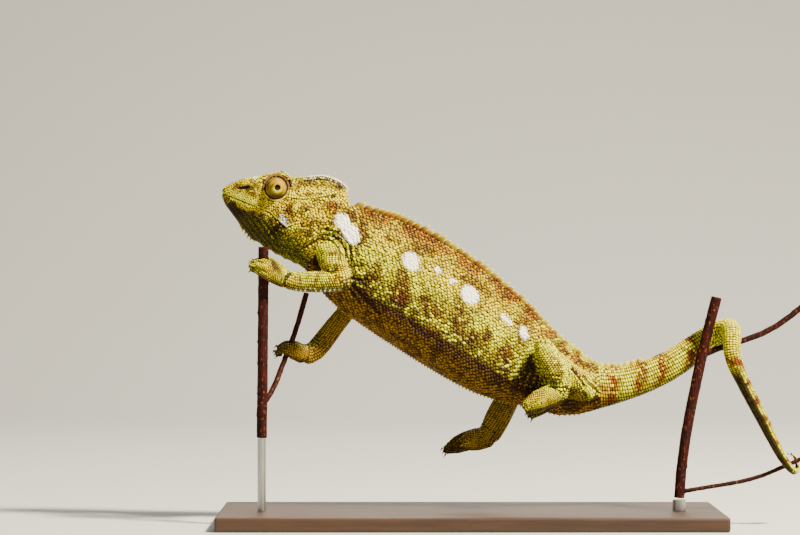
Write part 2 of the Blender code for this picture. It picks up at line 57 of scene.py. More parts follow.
class Wire:
    """One socket of a material, so that sums and products of values are written as such."""

    def __init__(self, finish, socket):
        self.finish = finish
        self.socket = socket

    def sum(self, operation, *values):
        return self.finish.node("ShaderNodeMath", {"operation": operation}, dict(enumerate(values)))

    def __add__(self, other):
        return self.sum("ADD", self, other)

    def __mul__(self, other):
        return self.sum("MULTIPLY", self, other)

    __radd__ = __add__
    __rmul__ = __mul__


class Finish:
    """A material with its Principled shader."""

    def __init__(self, name, roughness, metallic=0.0, specular=0.5):
        self.material = bpy.data.materials.new(name)
        self.material.use_nodes = True
        self.tree = self.material.node_tree
        self.shader = self.tree.nodes["Principled BSDF"]
        self.set("Roughness", roughness)
        self.set("Metallic", metallic)
        self.set("Specular IOR Level", specular)

    def set(self, name, value):
        self.link(value, self.shader.inputs[name])

    def link(self, value, socket):
        if isinstance(value, Wire):
            self.tree.links.new(value.socket, socket)
        elif isinstance(value, tuple) and len(value) == 3 and socket.type == "RGBA":
            socket.default_value = (*value, 1.0)
        else:
            socket.default_value = value

    def node(self, kind, settings=None, values=None, output=0):
        made = self.tree.nodes.new(kind)
        for key, value in (settings or {}).items():
            if key == "stops":
                ramp = made.color_ramp
                for place, colour in value[2:]:
                    ramp.elements.new(place)
                for stop, (place, colour) in zip(ramp.elements, sorted(value)):
                    stop.position = place
                    stop.color = (*colour, 1.0)
            else:
                setattr(made, key, value)
        for key, value in (values or {}).items():
            self.link(value, made.inputs[key])
        return Wire(self, made.outputs[output])

    def place(self, stretch):
        """Object coordinates, stretched."""
        spot = self.node("ShaderNodeTexCoord", output="Object")
        return self.node("ShaderNodeMapping", None, {"Vector": spot, "Scale": stretch})

    def noise(self, size, detail, stretch=(1.0, 1.0, 1.0), rough=0.5):
        """Cloudy values from 0 to 1 whose patches are about size metres across."""
        return self.node("ShaderNodeTexNoise", None, {
            "Vector": self.place(stretch), "Scale": 1.0 / size, "Detail": detail, "Roughness": rough})

    def ramp(self, value, *stops):
        return self.node("ShaderNodeValToRGB", {"stops": list(stops)}, {0: value})

    def mix(self, share, one, two):
        """Goes from one colour to another by a share."""
        return self.node("ShaderNodeMix", {"data_type": "RGBA"}, {0: share, 6: one, 7: two}, output=2)

    def bump(self, height, depth, strength=1.0):
        self.set("Normal", self.node("ShaderNodeBump", None, {
            "Height": height, "Distance": depth, "Strength": strength}))


def drawn_out(form, edges):
    """Extrudes a row of edges, and gives the new vertices and edges."""
    drawn = bmesh.ops.extrude_edge_only(form, edges=edges)["geom"]
    return ([g for g in drawn if isinstance(g, bmesh.types.BMVert)],
            [g for g in drawn if isinstance(g, bmesh.types.BMEdge)])


paper = Finish("paper_sweep", 0.9, specular=0.2)
paper.set("Base Color", paint(0.72, 0.72, 0.71))
sweep = bmesh.new()
front_edge = sweep.edges.new([sweep.verts.new((x, -2.2, 0.0)) for x in (-3.0, 3.0)])
flat_verts, flat_edges = drawn_out(sweep, [front_edge])
bmesh.ops.translate(sweep, verts=flat_verts, vec=(0.0, 3.2, 0.0))
bmesh.ops.spin(sweep, geom=flat_verts + flat_edges, cent=(0.0, 1.0, 0.8), axis=(1.0, 0.0, 0.0),
               angle=math.pi / 2, steps=16)
top_edges = [e for e in sweep.edges if all(v.co.z > 0.79 for v in e.verts)]
bmesh.ops.translate(sweep, verts=drawn_out(sweep, top_edges)[0], vec=(0.0, 0.0, 1.5))
bmesh.ops.recalc_face_normals(sweep, faces=sweep.faces)
sweep_mesh = bpy.data.meshes.new("floor")
sweep.to_mesh(sweep_mesh)
sweep.free()
sweep_mesh.shade_smooth()
floor = bpy.data.objects.new("floor", sweep_mesh)
sweep_mesh.materials.append(paper.material)
bpy.context.scene.collection.objects.link(floor)

CAMERA_DISTANCE = 1.5
VIEW_WIDTH = 0.384  # how much of the model's middle plane the frame takes in
lens = bpy.data.cameras.new("camera")
lens.sensor_width = 36.0
lens.lens = lens.sensor_width * CAMERA_DISTANCE / VIEW_WIDTH
lens.clip_start = 0.05
lens.clip_end = 20.0
camera = bpy.data.objects.new("camera", lens)
camera.location = (-0.0336, -CAMERA_DISTANCE, 0.12312)
camera.rotation_euler = (math.pi / 2, 0.0, 0.0)
bpy.context.scene.collection.objects.link(camera)
bpy.context.scene.camera = camera


def lamp(name, place, aim, size, power, colour):
    """A square soft box."""
    light = bpy.data.lights.new(name, "AREA")
    light.size = size
    light.energy = power
    light.color = colour
    made = bpy.data.objects.new(name, light)
    made.location = place
    made.rotation_euler = (Vector(aim) - Vector(place)).to_track_quat("-Z", "Y").to_euler()
    bpy.context.scene.collection.objects.link(made)


lamp("key_light", (0.85, -0.62, 1.30), (0.0, 0.0, 0.09), 0.20, 150.0, (1.0, 0.90, 0.68))
lamp("fill_light", (-1.3, -1.3, 0.6), (0.0, 0.0, 0.1), 1.2, 2.2, (0.86, 0.93, 1.0))
lamp("rim_light", (0.2, 1.0, 1.1), (0.0, 0.0, 0.1), 0.8, 14.0, (1.0, 0.96, 0.9))
world = bpy.data.worlds.new("world")
world.use_nodes = True
backdrop = world.node_tree.nodes["Background"]
backdrop.inputs["Color"].default_value = (0.95, 0.97, 1.0, 1.0)
backdrop.inputs["Strength"].default_value = 0.13
bpy.context.scene.world = world


# The hide: one thin skin over the whole animal, made over the flesh solids and lying inside them by
# the depth of the scales. It sinks into a groove along the mouth, in rings round each eye, in the
# clefts between the toes and in the folds that the pose makes.
SPINE = np.array((
    (-67.7, 0.0, 138.4, 19.6), (-55.0, 0.0, 128.6, 24.6), (-38.0, 0.0, 118.6, 27.3),
    (-21.4, 0.0, 108.6, 28.0), (-3.7, 0.0, 96.6, 27.2), (16.1, 0.0, 83.0, 24.4),
    (34.0, 0.0, 73.2, 18.8), (48.5, 0.0, 66.6, 15.4), (61.4, 0.0, 65.6, 10.8),
    (73.4, 0.0, 67.4, 8.7), (85.4, 0.0, 71.3, 8.0), (98.4, 0.0, 77.7, 7.3),
    (110.4, 0.0, 86.0, 6.7), (119.0, -1.2, 91.8, 6.0), (123.6, -7.0, 94.0, 5.3),
    (124.2, -14.2, 90.0, 4.9), (123.9, -16.6, 83.9, 4.7), (125.1, -16.4, 78.4, 4.3),
    (129.0, -15.6, 69.6, 3.7), (133.9, -14.6, 60.2, 3.5), (139.0, -13.6, 50.6, 3.3),
    (143.9, -13.0, 41.0, 3.0), (149.2, -12.8, 31.4, 2.5), (152.3, -12.2, 27.2, 2.2),
    (154.9, -9.2, 25.6, 1.8), (156.4, -5.4, 27.8, 1.5), (155.6, -4.6, 32.0, 1.2),
    (152.8, -5.8, 34.3, 0.85), (150.9, -7.0, 34.2, 0.5),
))
MOUTH = np.array(((-119.0, 158.8), (-104.2, 152.7), (-95.8, 149.2), (-92.8, 146.0), (-87.6, 141.4)))
EYE = np.array((-91.9, 161.1))
TURRET = np.array((-92.8, 161.2))
NOSTRIL = np.array((-108.3, 161.2))
CASQUE_RIDGE = ((-85.2, 165.4), (-78.0, 166.2), (-71.2, 166.9), (-66.4, 165.8), (-62.8, 164.2),
                (-60.4, 162.4), (-58.9, 160.4))
UNDER_CASQUE = ((-79.0, 164.6), (-73.6, 165.3), (-70.0, 165.1), (-66.5, 164.4), (-62.8, 163.2))
SNOUT_RIDGE = ((-100.2, 166.0), (-106.0, 165.2), (-112.0, 163.6), (-117.6, 160.9))
TEMPLE_RIDGE = ((-86.2, 157.0), (-80.5, 156.2), (-74.5, 156.6), (-67.0, 158.2), (-60.6, 160.0))
COAT = 0.45  # how far the skin lies inside the solids
JOIN = 0.25  # how far the flesh copies are swollen to close the cuts between them
HIDE_GRID = 0.8  # size of the grid on which the hide is closed
THINNED = 0.70  # share of the hide's triangles that is kept under the scales


def unit(vectors):
    """The same directions with length 1."""
    return vectors / np.maximum(np.linalg.norm(vectors, axis=-1, keepdims=True), 1e-9)


def run_of(line):
    """Distance run at each point of a bent line."""
    return np.concatenate(([0.0], np.cumsum(np.linalg.norm(np.diff(line, axis=0), axis=1))))


class Course:
    """A smooth middle line, sampled finely, with its directions carried along without twist."""

    def __init__(self, rows, step=0.5):
        marks = run_of(rows[:, :3])
        slopes = np.gradient(rows, marks, axis=0)
        self.step = step
        self.along = np.arange(0.0, marks[-1], step)
        i = np.clip(np.searchsorted(marks, self.along, "right") - 1, 0, len(marks) - 2)
        span = (marks[i + 1] - marks[i])[:, None]
        t = (self.along - marks[i])[:, None] / span
        row = (1 + 2 * t) * (1 - t) ** 2 * rows[i] + t * (1 - t) ** 2 * span * slopes[i]
        row = row + t * t * (3 - 2 * t) * rows[i + 1] + t * t * (t - 1) * span * slopes[i + 1]
        self.place = row[:, :3]
        self.depth = row[:, 3]
        self.ahead = unit(np.gradient(self.place, axis=0))
        sides = []
        across = np.array((0.0, 1.0, 0.0))
        for ahead in self.ahead:
            across = unit(across - ahead * across.dot(ahead))
            sides.append(across)
        self.side = np.array(sides)
        self.up = np.cross(self.ahead, self.side)

    def at(self, along):
        """Place, direction ahead, up, side and depth at a distance along the line."""
        where = min(max(along / self.step, 0.0), len(self.along) - 1.001)
        i, t = int(where), where % 1.0
        place, ahead, up, side = (
            Vector((1 - t) * row[i] + t * row[i + 1]) for row in (self.place, self.ahead, self.up, self.side))
        return place, ahead, up, side, (1 - t) * self.depth[i] + t * self.depth[i + 1]

    def nearest(self, points):
        """For each point: the sample of the line that is nearest."""
        found = np.empty(len(points), int)
        batch = 20000
        for first in range(0, len(points), batch):
            part = points[first:first + batch]
            gap = (part ** 2).sum(1)[:, None] - 2 * part @ self.place.T + (self.place ** 2).sum(1)
            found[first:first + batch] = gap.argmin(1)
        return found

    def turn(self, points, index):
        """The angle of each point round the line, 0 at the top and positive to +Y at the start."""
        off = points - self.place[index]
        return np.arctan2((off * self.side[index]).sum(1), (off * self.up[index]).sum(1))


spine = Course(SPINE)
LIMBS = {
    "foreleg_left_upper": ((-68.5, -5.0, 131.5, 7.6), (-66.5, -11.0, 127.5, 7.2), (-63.0, -15.5, 121.5, 5.8),
                           (-60.6, -17.2, 117.0, 4.6)),
    "foreleg_left_lower": ((-59.6, -17.4, 116.8, 5.0), (-66.0, -17.6, 116.6, 5.4), (-74.0, -17.2, 116.3, 5.5),
                           (-82.0, -16.6, 116.3, 5.1), (-87.0, -16.2, 117.1, 4.8)),
    "forefoot_left_inner": ((-88.6, -16.8, 117.6, 4.8), (-92.6, -19.0, 119.6, 5.1),
                            (-97.6, -20.4, 122.9, 5.0), (-101.8, -19.6, 124.0, 4.4),
                            (-104.2, -17.8, 123.8, 3.1)),
    "forefoot_left_outer": ((-87.2, -13.0, 118.6, 3.3), (-91.2, -9.6, 122.7, 2.8), (-95.6, -7.7, 126.2, 2.4),
                            (-99.8, -6.8, 127.2, 2.2), (-103.0, -8.0, 126.0, 1.6)),
    "foreleg_right_upper": ((-62.0, 5.0, 125.0, 7.4), (-61.0, 11.0, 119.0, 6.8), (-59.6, 13.6, 109.5, 5.4),
                            (-58.8, 13.8, 102.6, 4.7)),
    "foreleg_right_lower": ((-59.6, 13.6, 101.6, 4.9), (-65.2, 12.0, 94.8, 5.1), (-70.0, 10.0, 88.4, 5.4),
                            (-74.4, 8.0, 83.2, 5.4), (-78.6, 6.2, 80.7, 5.1)),
    "forefoot_right_inner": ((-80.2, 3.8, 81.0, 4.9), (-83.6, 1.0, 82.7, 4.7), (-87.4, -0.3, 83.3, 4.4),
                             (-91.0, 0.6, 82.7, 3.4), (-93.2, 2.4, 81.9, 2.1)),
    "forefoot_right_outer": ((-80.8, 8.2, 82.9, 3.8), (-85.2, 9.2, 85.2, 3.4), (-89.3, 9.0, 85.6, 2.8),
                             (-92.4, 7.4, 84.4, 1.8)),
    "hindleg_left_upper": ((57.0, -2.5, 64.8, 8.4), (50.6, -7.5, 67.6, 7.8), (44.0, -10.6, 73.4, 6.8),
                           (38.2, -12.4, 80.4, 5.4), (34.4, -13.4, 85.2, 4.2)),
    "hindleg_left_lower": ((33.4, -15.2, 85.8, 4.0), (36.0, -17.0, 80.4, 4.5), (39.4, -17.8, 73.8, 5.4),
                           (42.6, -17.6, 66.4, 5.6)),
    "hindfoot_left_outer": ((43.0, -18.4, 64.6, 5.4), (38.4, -19.0, 62.6, 5.7), (33.6, -19.4, 60.8, 5.7),
                            (29.4, -19.4, 58.7, 5.2), (26.4, -18.8, 56.6, 3.7)),
    "hindfoot_left_inner": ((42.4, -12.0, 63.0, 4.4), (37.0, -12.0, 59.2, 4.6), (31.8, -12.2, 55.8, 4.3),
                            (28.4, -12.6, 52.8, 2.8)),
    "hindleg_right_upper": ((56.0, 2.5, 64.8, 8.2), (46.0, 8.4, 67.4, 7.6), (34.0, 12.2, 69.0, 6.6),
                            (24.5, 13.6, 67.6, 5.6)),
    "hindleg_right_lower": ((22.8, 13.8, 66.6, 5.6), (18.0, 13.4, 58.6, 6.4), (13.5, 12.8, 49.9, 6.6),
                            (10.0, 12.2, 42.8, 6.0)),
    "hindfoot_right_outer": ((9.6, 9.0, 41.3, 5.3), (4.8, 8.4, 40.1, 5.8), (-0.4, 7.8, 39.2, 5.3),
                             (-4.0, 8.2, 37.9, 3.4)),
    "hindfoot_right_inner": ((9.0, 15.0, 41.0, 5.2), (2.0, 15.0, 40.2, 5.6), (-4.4, 14.4, 37.8, 5.1),
                             (-9.2, 13.6, 35.8, 3.9), (-11.8, 13.2, 34.4, 2.4)),
}
courses = {name: Course(np.array(rows, float), 0.4) for name, rows in LIMBS.items()}
TOES = {
    "forefoot_left_inner": 3, "forefoot_left_outer": 2, "forefoot_right_inner": 3, "forefoot_right_outer": 2,
    "hindfoot_left_outer": 2, "hindfoot_left_inner": 3, "hindfoot_right_outer": 2, "hindfoot_right_inner": 3,
}
flesh_names = sorted(n for n in nodes if not n.startswith(("eye_", "perch_", "stand_")))
PART = {name: number for number, name in enumerate(flesh_names)}
IS_HEAD = np.array([n in ("head", "lower_jaw") for n in flesh_names])
IS_TAIL = np.array([n.startswith("tail") for n in flesh_names])
IS_LIMB = np.array([n.startswith(("fore", "hind")) for n in flesh_names])
IS_FAR = np.array(["right" in n for n in flesh_names])
IS_FOOT = np.array(["foot" in n for n in flesh_names])


def points_of(mesh):
    """Places of a mesh's vertices in millimetres."""
    spots = np.empty(len(mesh.vertices) * 3, np.float32)
    mesh.vertices.foreach_get("co", spots)
    return spots.reshape(-1, 3).astype(float) / MM


def normals_of(mesh):
    """Normals at a mesh's vertices."""
    found = np.empty(len(mesh.vertices) * 3, np.float32)
    mesh.vertex_normals.foreach_get("vector", found)
    return found.reshape(-1, 3).astype(float)


def set_points(mesh, spots):
    """Moves a mesh's vertices to places in millimetres."""
    mesh.vertices.foreach_set("co", (spots * MM).astype(np.float32).ravel())
    mesh.update()


# Copies of the flesh, swollen a little so that the cuts between them close.
joined = bmesh.new()
owner_verts, owner_faces, owner_of = [], [], []
for number, name in enumerate(flesh_names):
    lump = bmesh.new()
    lump.from_mesh(nodes[name].data)
    bmesh.ops.remove_doubles(lump, verts=lump.verts, dist=0.000001)
    lump.normal_update()
    offset = len(owner_verts)
    owner_verts += [v.co.copy() for v in lump.verts]
    owner_faces += [[v.index + offset for v in f.verts] for f in lump.faces]
    owner_of += [number] * len(lump.faces)
    swell = [(v, v.co + v.normal * (JOIN * MM)) for v in lump.verts]
    for v, spot in swell:
        v.co = spot
    piece_mesh = bpy.data.meshes.new("swollen")
    lump.to_mesh(piece_mesh)
    lump.free()
    joined.from_mesh(piece_mesh)
    bpy.data.meshes.remove(piece_mesh)
owners = BVHTree.FromPolygons(owner_verts, owner_faces)
owner_of = np.array(owner_of)


def merged(lumps, name, voxel):
    """One closed surface round all the lumps of a bmesh."""
    rough_mesh = bpy.data.meshes.new(name)
    lumps.to_mesh(rough_mesh)
    lumps.free()
    rough = bpy.data.objects.new(name + "_rough", rough_mesh)
    bpy.context.scene.collection.objects.link(rough)
    remesh = rough.modifiers.new("remesh", "REMESH")
    remesh.mode = "VOXEL"
    remesh.voxel_size = voxel * MM
    bpy.context.view_layer.update()
    made = bpy.data.meshes.new_from_object(rough.evaluated_get(bpy.context.evaluated_depsgraph_get()))
    bpy.data.objects.remove(rough, do_unlink=True)
    return made


hide_mesh = merged(joined, "hide", HIDE_GRID)


def owner(points):
    """The number of the flesh solid nearest to each point."""
    return owner_of[[owners.find_nearest(Vector(p * MM))[2] for p in points]]


def relaxed(mesh, spots, rounds, weight=None, keep=True):
    """Evens out the surface between neighbours, giving back the volume where keep is set."""
    ends = np.empty(len(mesh.edges) * 2, np.int32)
    mesh.edges.foreach_get("vertices", ends)
    one, two = ends.reshape(-1, 2).T
    count = np.bincount(one, minlength=len(spots)) + np.bincount(two, minlength=len(spots))
    share = np.ones(len(spots)) if weight is None else weight
    for _ in range(rounds):
        for push in ((0.55, -0.57) if keep else (0.5,)):
            mean = np.stack([
                np.bincount(one, spots[two, k], len(spots)) + np.bincount(two, spots[one, k], len(spots))
                for k in range(3)], 1) / count[:, None]
            spots = spots + (mean - spots) * (push * share)[:, None]
    return spots


spots = points_of(hide_mesh)
spots = relaxed(hide_mesh, spots, 3, keep=False)
spots = relaxed(hide_mesh, spots, 12)
set_points(hide_mesh, spots)

# The head and the feet get a finer mesh, for lips, lids and toes.
whose = owner(spots)
fine = (IS_HEAD | IS_FOOT)[whose]
work = bmesh.new()
work.from_mesh(hide_mesh)
work.verts.ensure_lookup_table()
edges = [e for e in work.edges if fine[e.verts[0].index] and fine[e.verts[1].index]]
bmesh.ops.subdivide_edges(work, edges=edges, cuts=1, use_grid_fill=True)
bmesh.ops.triangulate(work, faces=[f for f in work.faces if len(f.verts) > 4])
work.to_mesh(hide_mesh)
work.free()
spots = points_of(hide_mesh)
whose = owner(spots)
fine = (IS_HEAD | IS_FOOT)[whose]
spots = relaxed(hide_mesh, spots, 4, fine.astype(float))
set_points(hide_mesh, spots)
spots = spots - normals_of(hide_mesh) * (JOIN + COAT)


def off_line(spots, line):
    """Distance of each point, seen from the side, from a bent line of x and z."""
    flat = spots[:, (0, 2)]
    best = np.full(len(flat), 1e9)
    for start, end in zip(line, line[1:]):
        run = end - start
        t = np.clip(((flat - start) @ run) / (run @ run), 0, 1)
        best = np.minimum(best, np.linalg.norm(flat - start - t[:, None] * run, axis=1))
    return best


def ease(value, low, high):
    """Goes smoothly from 0 at low to 1 at high."""
    t = np.clip((value - low) / (high - low), 0, 1)
    return t * t * (3 - 2 * t)


set_points(hide_mesh, spots)
normals = normals_of(hide_mesh)


# Folds and ridges that the pose makes: a line of x and z, depth (a ridge is below zero) and half
# width, in millimetres. All lie on the left side; those in BOTH_SIDES are on the right as well.
BOTH_SIDES = (
    (CASQUE_RIDGE, -0.45, 0.9), (TEMPLE_RIDGE, -0.5, 1.0), (SNOUT_RIDGE, -0.3, 0.9),
    (UNDER_CASQUE, 0.5, 0.5),
    (((-84.5, 162.6), (-76.0, 162.6), (-66.0, 162.0), (-61.5, 160.8)), 0.4, 1.4),
    (((-79.7, 134.6), (-75.0, 138.0), (-70.6, 140.8)), -0.55, 0.9),
    (((-79.2, 132.8), (-75.4, 134.9), (-71.5, 137.2)), 0.6, 0.9),
    (((-84.0, 137.5), (-78.0, 142.5), (-72.0, 145.0)), 0.3, 0.9),
    (((-93.5, 131.5), (-86.0, 130.0), (-79.0, 127.0)), 0.35, 0.8),
    (((-98.0, 135.5), (-90.0, 133.5), (-82.0, 131.0)), 0.35, 0.8),
)
LEFT_SIDE = (
    (((-68.9, 121.6), (-66.2, 120.7), (-63.4, 121.7)), 0.8, 0.7),
    (((-74.3, 128.4), (-73.2, 124.6)), 0.9, 1.0),
    (((-57.4, 122.9), (-51.5, 124.3)), 0.5, 0.7), (((-57.2, 118.2), (-49.5, 117.2)), 0.6, 0.8),
    (((-56.6, 115.0), (-50.0, 108.0), (-43.0, 101.0)), 0.6, 0.9),
    (((-57.5, 113.0), (-53.0, 106.5)), 0.5, 0.8), (((-54.0, 117.4), (-44.0, 110.0)), 0.35, 0.8),
    (((28.4, 87.4), (26.2, 82.6), (23.6, 78.6), (21.4, 74.4), (18.6, 70.4)), -0.8, 1.1),
    (((36.8, 88.1), (38.7, 83.9), (42.5, 79.2), (45.4, 75.4), (48.7, 70.6), (52.0, 66.9), (57.2, 61.4)),
     -0.8, 1.2),
    (((47.7, 74.8), (50.1, 72.2), (52.2, 69.4), (54.0, 66.4)), 1.2, 0.6),
    (((47.2, 72.4), (50.2, 68.4), (53.8, 64.2), (56.0, 61.0)), 0.9, 0.5),
    (((53.6, 71.2), (56.8, 67.4), (59.8, 64.6)), 0.5, 0.8),
    (((35.3, 72.2), (40.0, 71.5), (44.0, 72.2)), 0.6, 0.5),
    (((35.8, 70.2), (40.0, 69.6), (43.6, 70.4)), 0.6, 0.5),
    (((36.4, 68.2), (40.0, 67.8), (43.0, 68.4)), 0.55, 0.5),
    (((36.8, 66.4), (41.0, 66.0), (45.0, 66.4)), 0.6, 0.5),
    (((-86.0, 120.6), (-88.4, 117.0), (-88.0, 113.2)), 0.5, 0.7),
)
SHOULDER = np.array((-70.0, 128.4))
GROIN = np.array(((27.6, 82.4), (29.8, 82.0), (32.0, 76.0), (33.8, 71.0), (34.8, 66.8), (28.4, 64.4),
                  (22.8, 65.6), (22.6, 69.0), (24.8, 75.4)))  # the pit below the knee, left side only


def inside(points, outline):
    """How far each point, seen from the side, lies inside a closed outline, in millimetres."""
    flat = points[:, (0, 2)]
    within = np.zeros(len(flat), bool)
    for (x1, z1), (x2, z2) in zip(outline, np.roll(outline, -1, axis=0)):
        crossing = (z1 > flat[:, 1]) != (z2 > flat[:, 1])
        within ^= crossing & (flat[:, 0] < (x2 - x1) * (flat[:, 1] - z1) / (z2 - z1 + 1e-12) + x1)
    return np.where(within, 1, -1) * off_line(points, np.vstack((outline, outline[:1])))


def creases(points):
    """How deep each place lies in a fold, in millimetres; a ridge is below zero."""
    depth = np.zeros(len(points))
    left = points[:, 1] < 0
    for lines, here in ((BOTH_SIDES, np.ones(len(points), bool)), (LEFT_SIDE, left)):
        for line, deep, width in lines:
            line = np.array(line)
            reach = np.ptp(line, axis=0).max() / 2 + 4
            near = here & (np.abs(points[:, (0, 2)] - line.mean(0)).max(1) < reach)
            depth[near] += deep * np.exp(-(off_line(points[near], line) / width) ** 2)
    off = points[:, (0, 2)] - SHOULDER
    reach, turn = np.hypot(*off.T), np.degrees(np.arctan2(off[:, 1], off[:, 0]))
    arcs = ease(reach, 5.5, 7.5) * (1 - ease(reach, 14.5, 17.0))
    arcs = arcs * ease(turn, -20, 5) * (1 - ease(turn, 75, 110))
    depth += np.where(left, 0.75 * arcs * np.cos(2 * math.pi * reach / 2.6), 0)
    return depth


def groin(points, whose):
    """How far in the pit between belly and shank each place lies, 0 to 1."""
    body = np.array([n in ("trunk", "hips", "hindleg_left_upper") for n in flesh_names])[whose]
    return np.where(body & (points[:, 1] < -3), ease(inside(points, GROIN), -0.7, 1.3), 0)


def toe_grooves(points, whose):
    """The clefts between the toes of each bundle."""
    depth = np.zeros(len(points))
    for name, count in TOES.items():
        mine = whose == PART[name]
        course = courses[name]
        index = course.nearest(points[mine])
        lift = ((points[mine] - course.place[index]) * course.up[index]).sum(1) / course.depth[index]
        towards_tip = ease(course.along[index] / course.along[-1], 0.35, 0.75)
        deep = 0.35 if name == "hindfoot_left_outer" else 0.7
        for k in range(count - 1):
            cleft = (k + 0.5 - (count - 1) / 2) * 1.44 / (count - 1)
            depth[mine] += deep * towards_tip * np.exp(-((lift - cleft) / 0.16) ** 2)
    return depth


def nostril(x, z):
    """Distance from the middle of the nostril's long slit, 1 at its edge."""
    off_x, off_z = x - NOSTRIL[0], z - NOSTRIL[1]
    return np.hypot((off_x + 0.14 * off_z) / 2.9, (off_z - 0.14 * off_x) / 0.7)


def throat_fold(x, z):
    """Phase of the folds that run down and back across the throat."""
    return np.sin(2 * math.pi * (0.78 * x + 0.62 * z) / 2.1)


head_spots = IS_HEAD[whose]
from_mouth = off_line(spots, MOUTH)
lips = head_spots & (spots[:, 0] < -86.0)
sink = np.where(lips, (0.35 + 0.3 * ease(spots[:, 0], -100, -94)) * (1 - ease(from_mouth, 0.0, 0.6)), 0.0)
sink -= np.where(lips, 0.18 * np.exp(-((from_mouth - 1.3) / 0.6) ** 2), 0.0)
from_eye = np.linalg.norm(spots[:, (0, 2)] - TURRET, axis=1)
socket = head_spots & (np.abs(spots[:, 1]) > 4.0)
above = ease(spots[:, 2] - TURRET[1], -1.0, 2.5)
sink += np.where(socket, 0.70 * np.exp(-((from_eye - 5.40) / 0.36) ** 2), 0.0)
sink += np.where(socket, 0.45 * above * np.exp(-((from_eye - 6.80) / 0.32) ** 2), 0.0)
sink -= np.where(socket, 0.30 * above * np.exp(-((from_eye - 6.10) / 0.30) ** 2), 0.0)
sink -= np.where(socket, 0.45 * above * np.exp(-((from_eye - 7.9) / 0.7) ** 2), 0.0)
pit = nostril(spots[:, 0], spots[:, 2])
pit_rim = 0.22 * np.exp(-((pit - 1.5) / 0.35) ** 2)
sink += np.where(head_spots, 0.7 * (1 - ease(pit, 0.5, 1.15)) - pit_rim, 0.0)
jowl = np.linalg.norm((spots[:, (0, 2)] - (-82.5, 143.5)) / (6.5, 5.5), axis=1)
sink -= np.where(head_spots, 0.7 * np.exp(-jowl ** 2), 0.0)
throat_lines = throat_fold(spots[:, 0], spots[:, 2])
on_jaw = head_spots & (spots[:, 2] < np.interp(spots[:, 0], MOUTH[:, 0], MOUTH[:, 1]) - 3.0)
sink += np.where(on_jaw, 0.20 * throat_lines * ease(-spots[:, 2], -150, -143), 0.0)
sink += creases(spots) + toe_grooves(spots, whose) + 1.5 * groin(spots, whose)
spots = spots - normals * sink[:, None]
set_points(hide_mesh, spots)


# Markings: lime and golden scales with clouds of rust, a row of white spots and flecks on each flank,
# an olive and khaki belly speckled dark, and rings of rust on the tail, together with painted shade and
# painted highlights where light and shade fall. The hide, the scales and the crest all take their colour from
# here.
WHITE_SPOTS = (
    (-61.2, 145.0, 3.5, 3.9, -0.5), (-57.2, 139.2, 3.9, 5.2, -0.5), (-28.3, 126.0, 3.7, 4.7, -0.4),
    (-0.2, 109.9, 3.7, 4.9, -0.7), (25.4, 91.9, 1.9, 3.7, -0.3), (-15.6, 121.9, 1.3, 1.7, -1.0),
    (-8.2, 116.6, 1.3, 1.8, -1.0), (16.2, 99.4, 1.2, 2.2, -0.9), (18.9, 97.0, 1.0, 1.7, -0.9),
)
RUST_PATCHES = (
    (-57.0, 148.3, 8.0, 2.6), (-50.5, 140.5, 3.0, 6.0), (-34.0, 110.5, 5.5, 8.0), (-24.0, 132.0, 7.0, 3.2),
    (-5.0, 98.0, 5.4, 9.5), (-1.8, 90.2, 7.0, 4.0), (17.3, 80.4, 5.0, 8.0), (24.5, 85.0, 3.4, 6.0),
    (2.0, 115.0, 6.0, 2.6), (24.5, 97.5, 4.0, 2.2), (45.0, 82.6, 4.0, 2.0), (54.0, 76.6, 5.5, 2.2),
    (-47.0, 118.5, 4.0, 3.4), (-22.0, 106.0, 3.5, 6.0), (8.0, 91.0, 3.0, 5.0), (-32.5, 119.5, 3.6, 5.0),
    (-5.0, 118.4, 3.6, 1.5), (7.4, 112.0, 2.0, 4.6), (-36.5, 136.5, 3.0, 2.0), (-19.0, 130.0, 4.0, 1.6),
)
TAIL_RINGS = ((68.6, 4.0), (81.6, 3.0), (91.7, 4.2), (105.1, 3.6), (115.0, 3.6))
TAIL_RINGS_LOW = ((78.2, 3.2), (69.0, 2.4), (60.0, 3.4), (49.5, 2.6), (40.0, 2.4), (31.5, 1.8))
LIME = np.array(paint(0.78, 0.78, 0.0))
PALE = np.array(paint(0.93, 0.93, 0.05))
GOLD = np.array(paint(0.88, 0.68, 0.0))
YELLOW = np.array(paint(0.97, 0.86, 0.0))
ORANGE = np.array(paint(0.66, 0.37, 0.0))
RUST = np.array(paint(0.34, 0.13, 0.0))
BROWN = np.array(paint(0.23, 0.09, 0.01))
OLIVE = np.array(paint(0.34, 0.26, 0.0))
KHAKI = np.array(paint(0.60, 0.44, 0.0))
MAROON = np.array(paint(0.16, 0.05, 0.02))
WHITE = np.array(paint(1.0, 0.99, 0.95))


def cloud(points, size, seed):
    """Smooth noise from 0 to 1 whose patches are about size millimetres across."""
    spot = points / size + seed * 17.37
    cell = np.floor(spot).astype(np.int64)
    t = spot - cell
    t = t * t * (3 - 2 * t)
    total = np.zeros(len(points))
    for corner in range(8):
        step = np.array((corner & 1, corner >> 1 & 1, corner >> 2 & 1))
        key = (cell + step) @ np.array((73856093, 19349663, 83492791)) ^ (seed * 2654435)
        key = (key ^ (key >> 13)) * 1274126177 & 0xFFFFFFFF
        key = (key ^ (key >> 16)) * 668265263 & 0xFFFFFFFF
        share = np.where(step, t, 1 - t).prod(1)
        total += share * ((key >> 8) & 0xFFFF) / 65535.0
    return total


def clouds(points, size, seed):
    """Two octaves of cloud."""
    return 0.65 * cloud(points, size, seed) + 0.35 * cloud(points, size * 0.45, seed + 7)


def tinted(colour, other, share):
    """Moves colours towards another by a share for each point."""
    return colour + (other - colour) * np.clip(share, 0, 1)[..., None]


